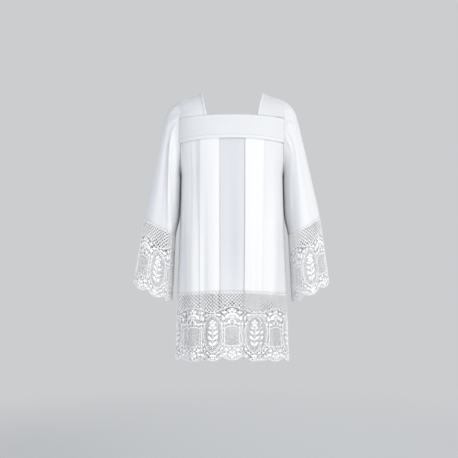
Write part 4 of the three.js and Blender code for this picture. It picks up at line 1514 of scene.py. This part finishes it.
def stage_floor(backdrop):
    """A wide pale floor that fades into the surroundings away from the garment."""
    size, height = 14.0, -1.5
    mesh = bpy.data.meshes.new("floor")
    mesh.from_pydata([(-size, -size, height), (size, -size, height), (size, size, height),
                      (-size, size, height)], [], [(0, 1, 2, 3)])
    floor = bpy.data.objects.new("floor", mesh)
    bpy.context.scene.collection.objects.link(floor)
    paint = bpy.data.materials.new("pale_floor")
    paint.use_nodes = True
    nodes, links = paint.node_tree.nodes, paint.node_tree.links
    shader = nodes["Principled BSDF"]
    shader.inputs["Base Color"].default_value = (0.54, 0.55, 0.56, 1.0)
    shader.inputs["Roughness"].default_value = 0.9
    glow = nodes.new("ShaderNodeEmission")
    glow.inputs["Color"].default_value = (*backdrop, 1.0)
    place = nodes.new("ShaderNodeTexCoord")
    away = nodes.new("ShaderNodeVectorMath")
    away.operation = "LENGTH"
    links.new(place.outputs["Object"], away.inputs[0])
    fade = nodes.new("ShaderNodeMapRange")
    fade.interpolation_type = "SMOOTHSTEP"
    fade.inputs["From Min"].default_value = 1.7
    fade.inputs["From Max"].default_value = 3.2
    links.new(away.outputs["Value"], fade.inputs["Value"])
    mix = nodes.new("ShaderNodeMixShader")
    links.new(fade.outputs["Result"], mix.inputs["Fac"])
    links.new(shader.outputs[0], mix.inputs[1])
    links.new(glow.outputs[0], mix.inputs[2])
    links.new(mix.outputs[0], nodes["Material Output"].inputs["Surface"])
    mesh.materials.append(paint)


def area_light(name, place, target, size, power, colour):
    light = bpy.data.lights.new(name, "AREA")
    light.shape = "DISK"
    light.size = size
    light.energy = power
    light.color = colour
    lamp = bpy.data.objects.new(name, light)
    lamp.location = place
    way = np.array(target) - np.array(place)
    flat = math.hypot(way[0], way[1])
    quarter = math.pi / 2
    lamp.rotation_euler = (quarter + math.atan2(way[2], flat), 0.0, math.atan2(way[1], way[0]) - quarter)
    bpy.context.scene.collection.objects.link(lamp)


class SURPLICE_OT_stage(Operator):
    """Set the pale floor, the soft lights and the camera."""

    bl_idname = "surplice.stage"
    bl_label = "Stage"

    def execute(self, context):
        scene = context.scene
        stage = scene.surplice_stage
        scene.view_settings.view_transform = "Standard"
        pale_world(scene, stage.backdrop, stage.ambient)
        stage_floor(stage.backdrop)
        middle = (0.0, 0.0, -0.45)
        area_light("key", (2.2, -2.6, 0.2), middle, 1.7, stage.key, (1.0, 0.985, 0.96))
        area_light("fill", (-2.2, -2.1, -0.95), middle, 1.8, stage.fill, (0.94, 0.96, 1.0))
        area_light("back", (0.6, 2.4, 1.0), middle, 1.6, 0.40 * stage.key, (1.0, 0.99, 0.97))
        lens = bpy.data.cameras.new("camera")
        lens.lens = stage.lens
        lens.sensor_width = 36.0
        camera = bpy.data.objects.new("camera", lens)
        camera.location = (-0.0103, -stage.camera_distance, stage.camera_height)
        camera.rotation_euler = (math.pi / 2, 0.0, 0.0)
        scene.collection.objects.link(camera)
        scene.camera = camera
        return {"FINISHED"}


class SURPLICE_PT_panel(Panel):
    """Lists the surplice's settings and steps."""

    bl_idname = "SURPLICE_PT_panel"
    bl_label = "Surplice"
    bl_space_type = "VIEW_3D"
    bl_region_type = "UI"
    bl_category = "Surplice"

    def draw(self, context):
        for settings in (context.scene.surplice_cloth, context.scene.surplice_stage):
            box = self.layout.box()
            for key in settings.__annotations__:
                box.prop(settings, key)
        for step in STEPS:
            self.layout.operator(step.bl_idname)


STEPS = (
    SURPLICE_OT_stage,
    SURPLICE_OT_panels,
    SURPLICE_OT_yokes,
    SURPLICE_OT_shoulders,
    SURPLICE_OT_sleeves,
    SURPLICE_OT_hem_lace,
    SURPLICE_OT_cuff_lace,
    SURPLICE_OT_tapes,
    SURPLICE_OT_stitches,
)
CLASSES = (SurpliceCloth, SurpliceStage, *STEPS, SURPLICE_PT_panel)


def register():
    for each in CLASSES:
        bpy.utils.register_class(each)
    bpy.types.Scene.surplice_cloth = PointerProperty(type=SurpliceCloth)
    bpy.types.Scene.surplice_stage = PointerProperty(type=SurpliceStage)


def unregister():
    del bpy.types.Scene.surplice_stage
    del bpy.types.Scene.surplice_cloth
    for each in reversed(CLASSES):
        bpy.utils.unregister_class(each)


def main():
    register()
    for step in STEPS:
        group, name = step.bl_idname.split(".")
        getattr(getattr(bpy.ops, group), name)()


if __name__ == "__main__":
    main()
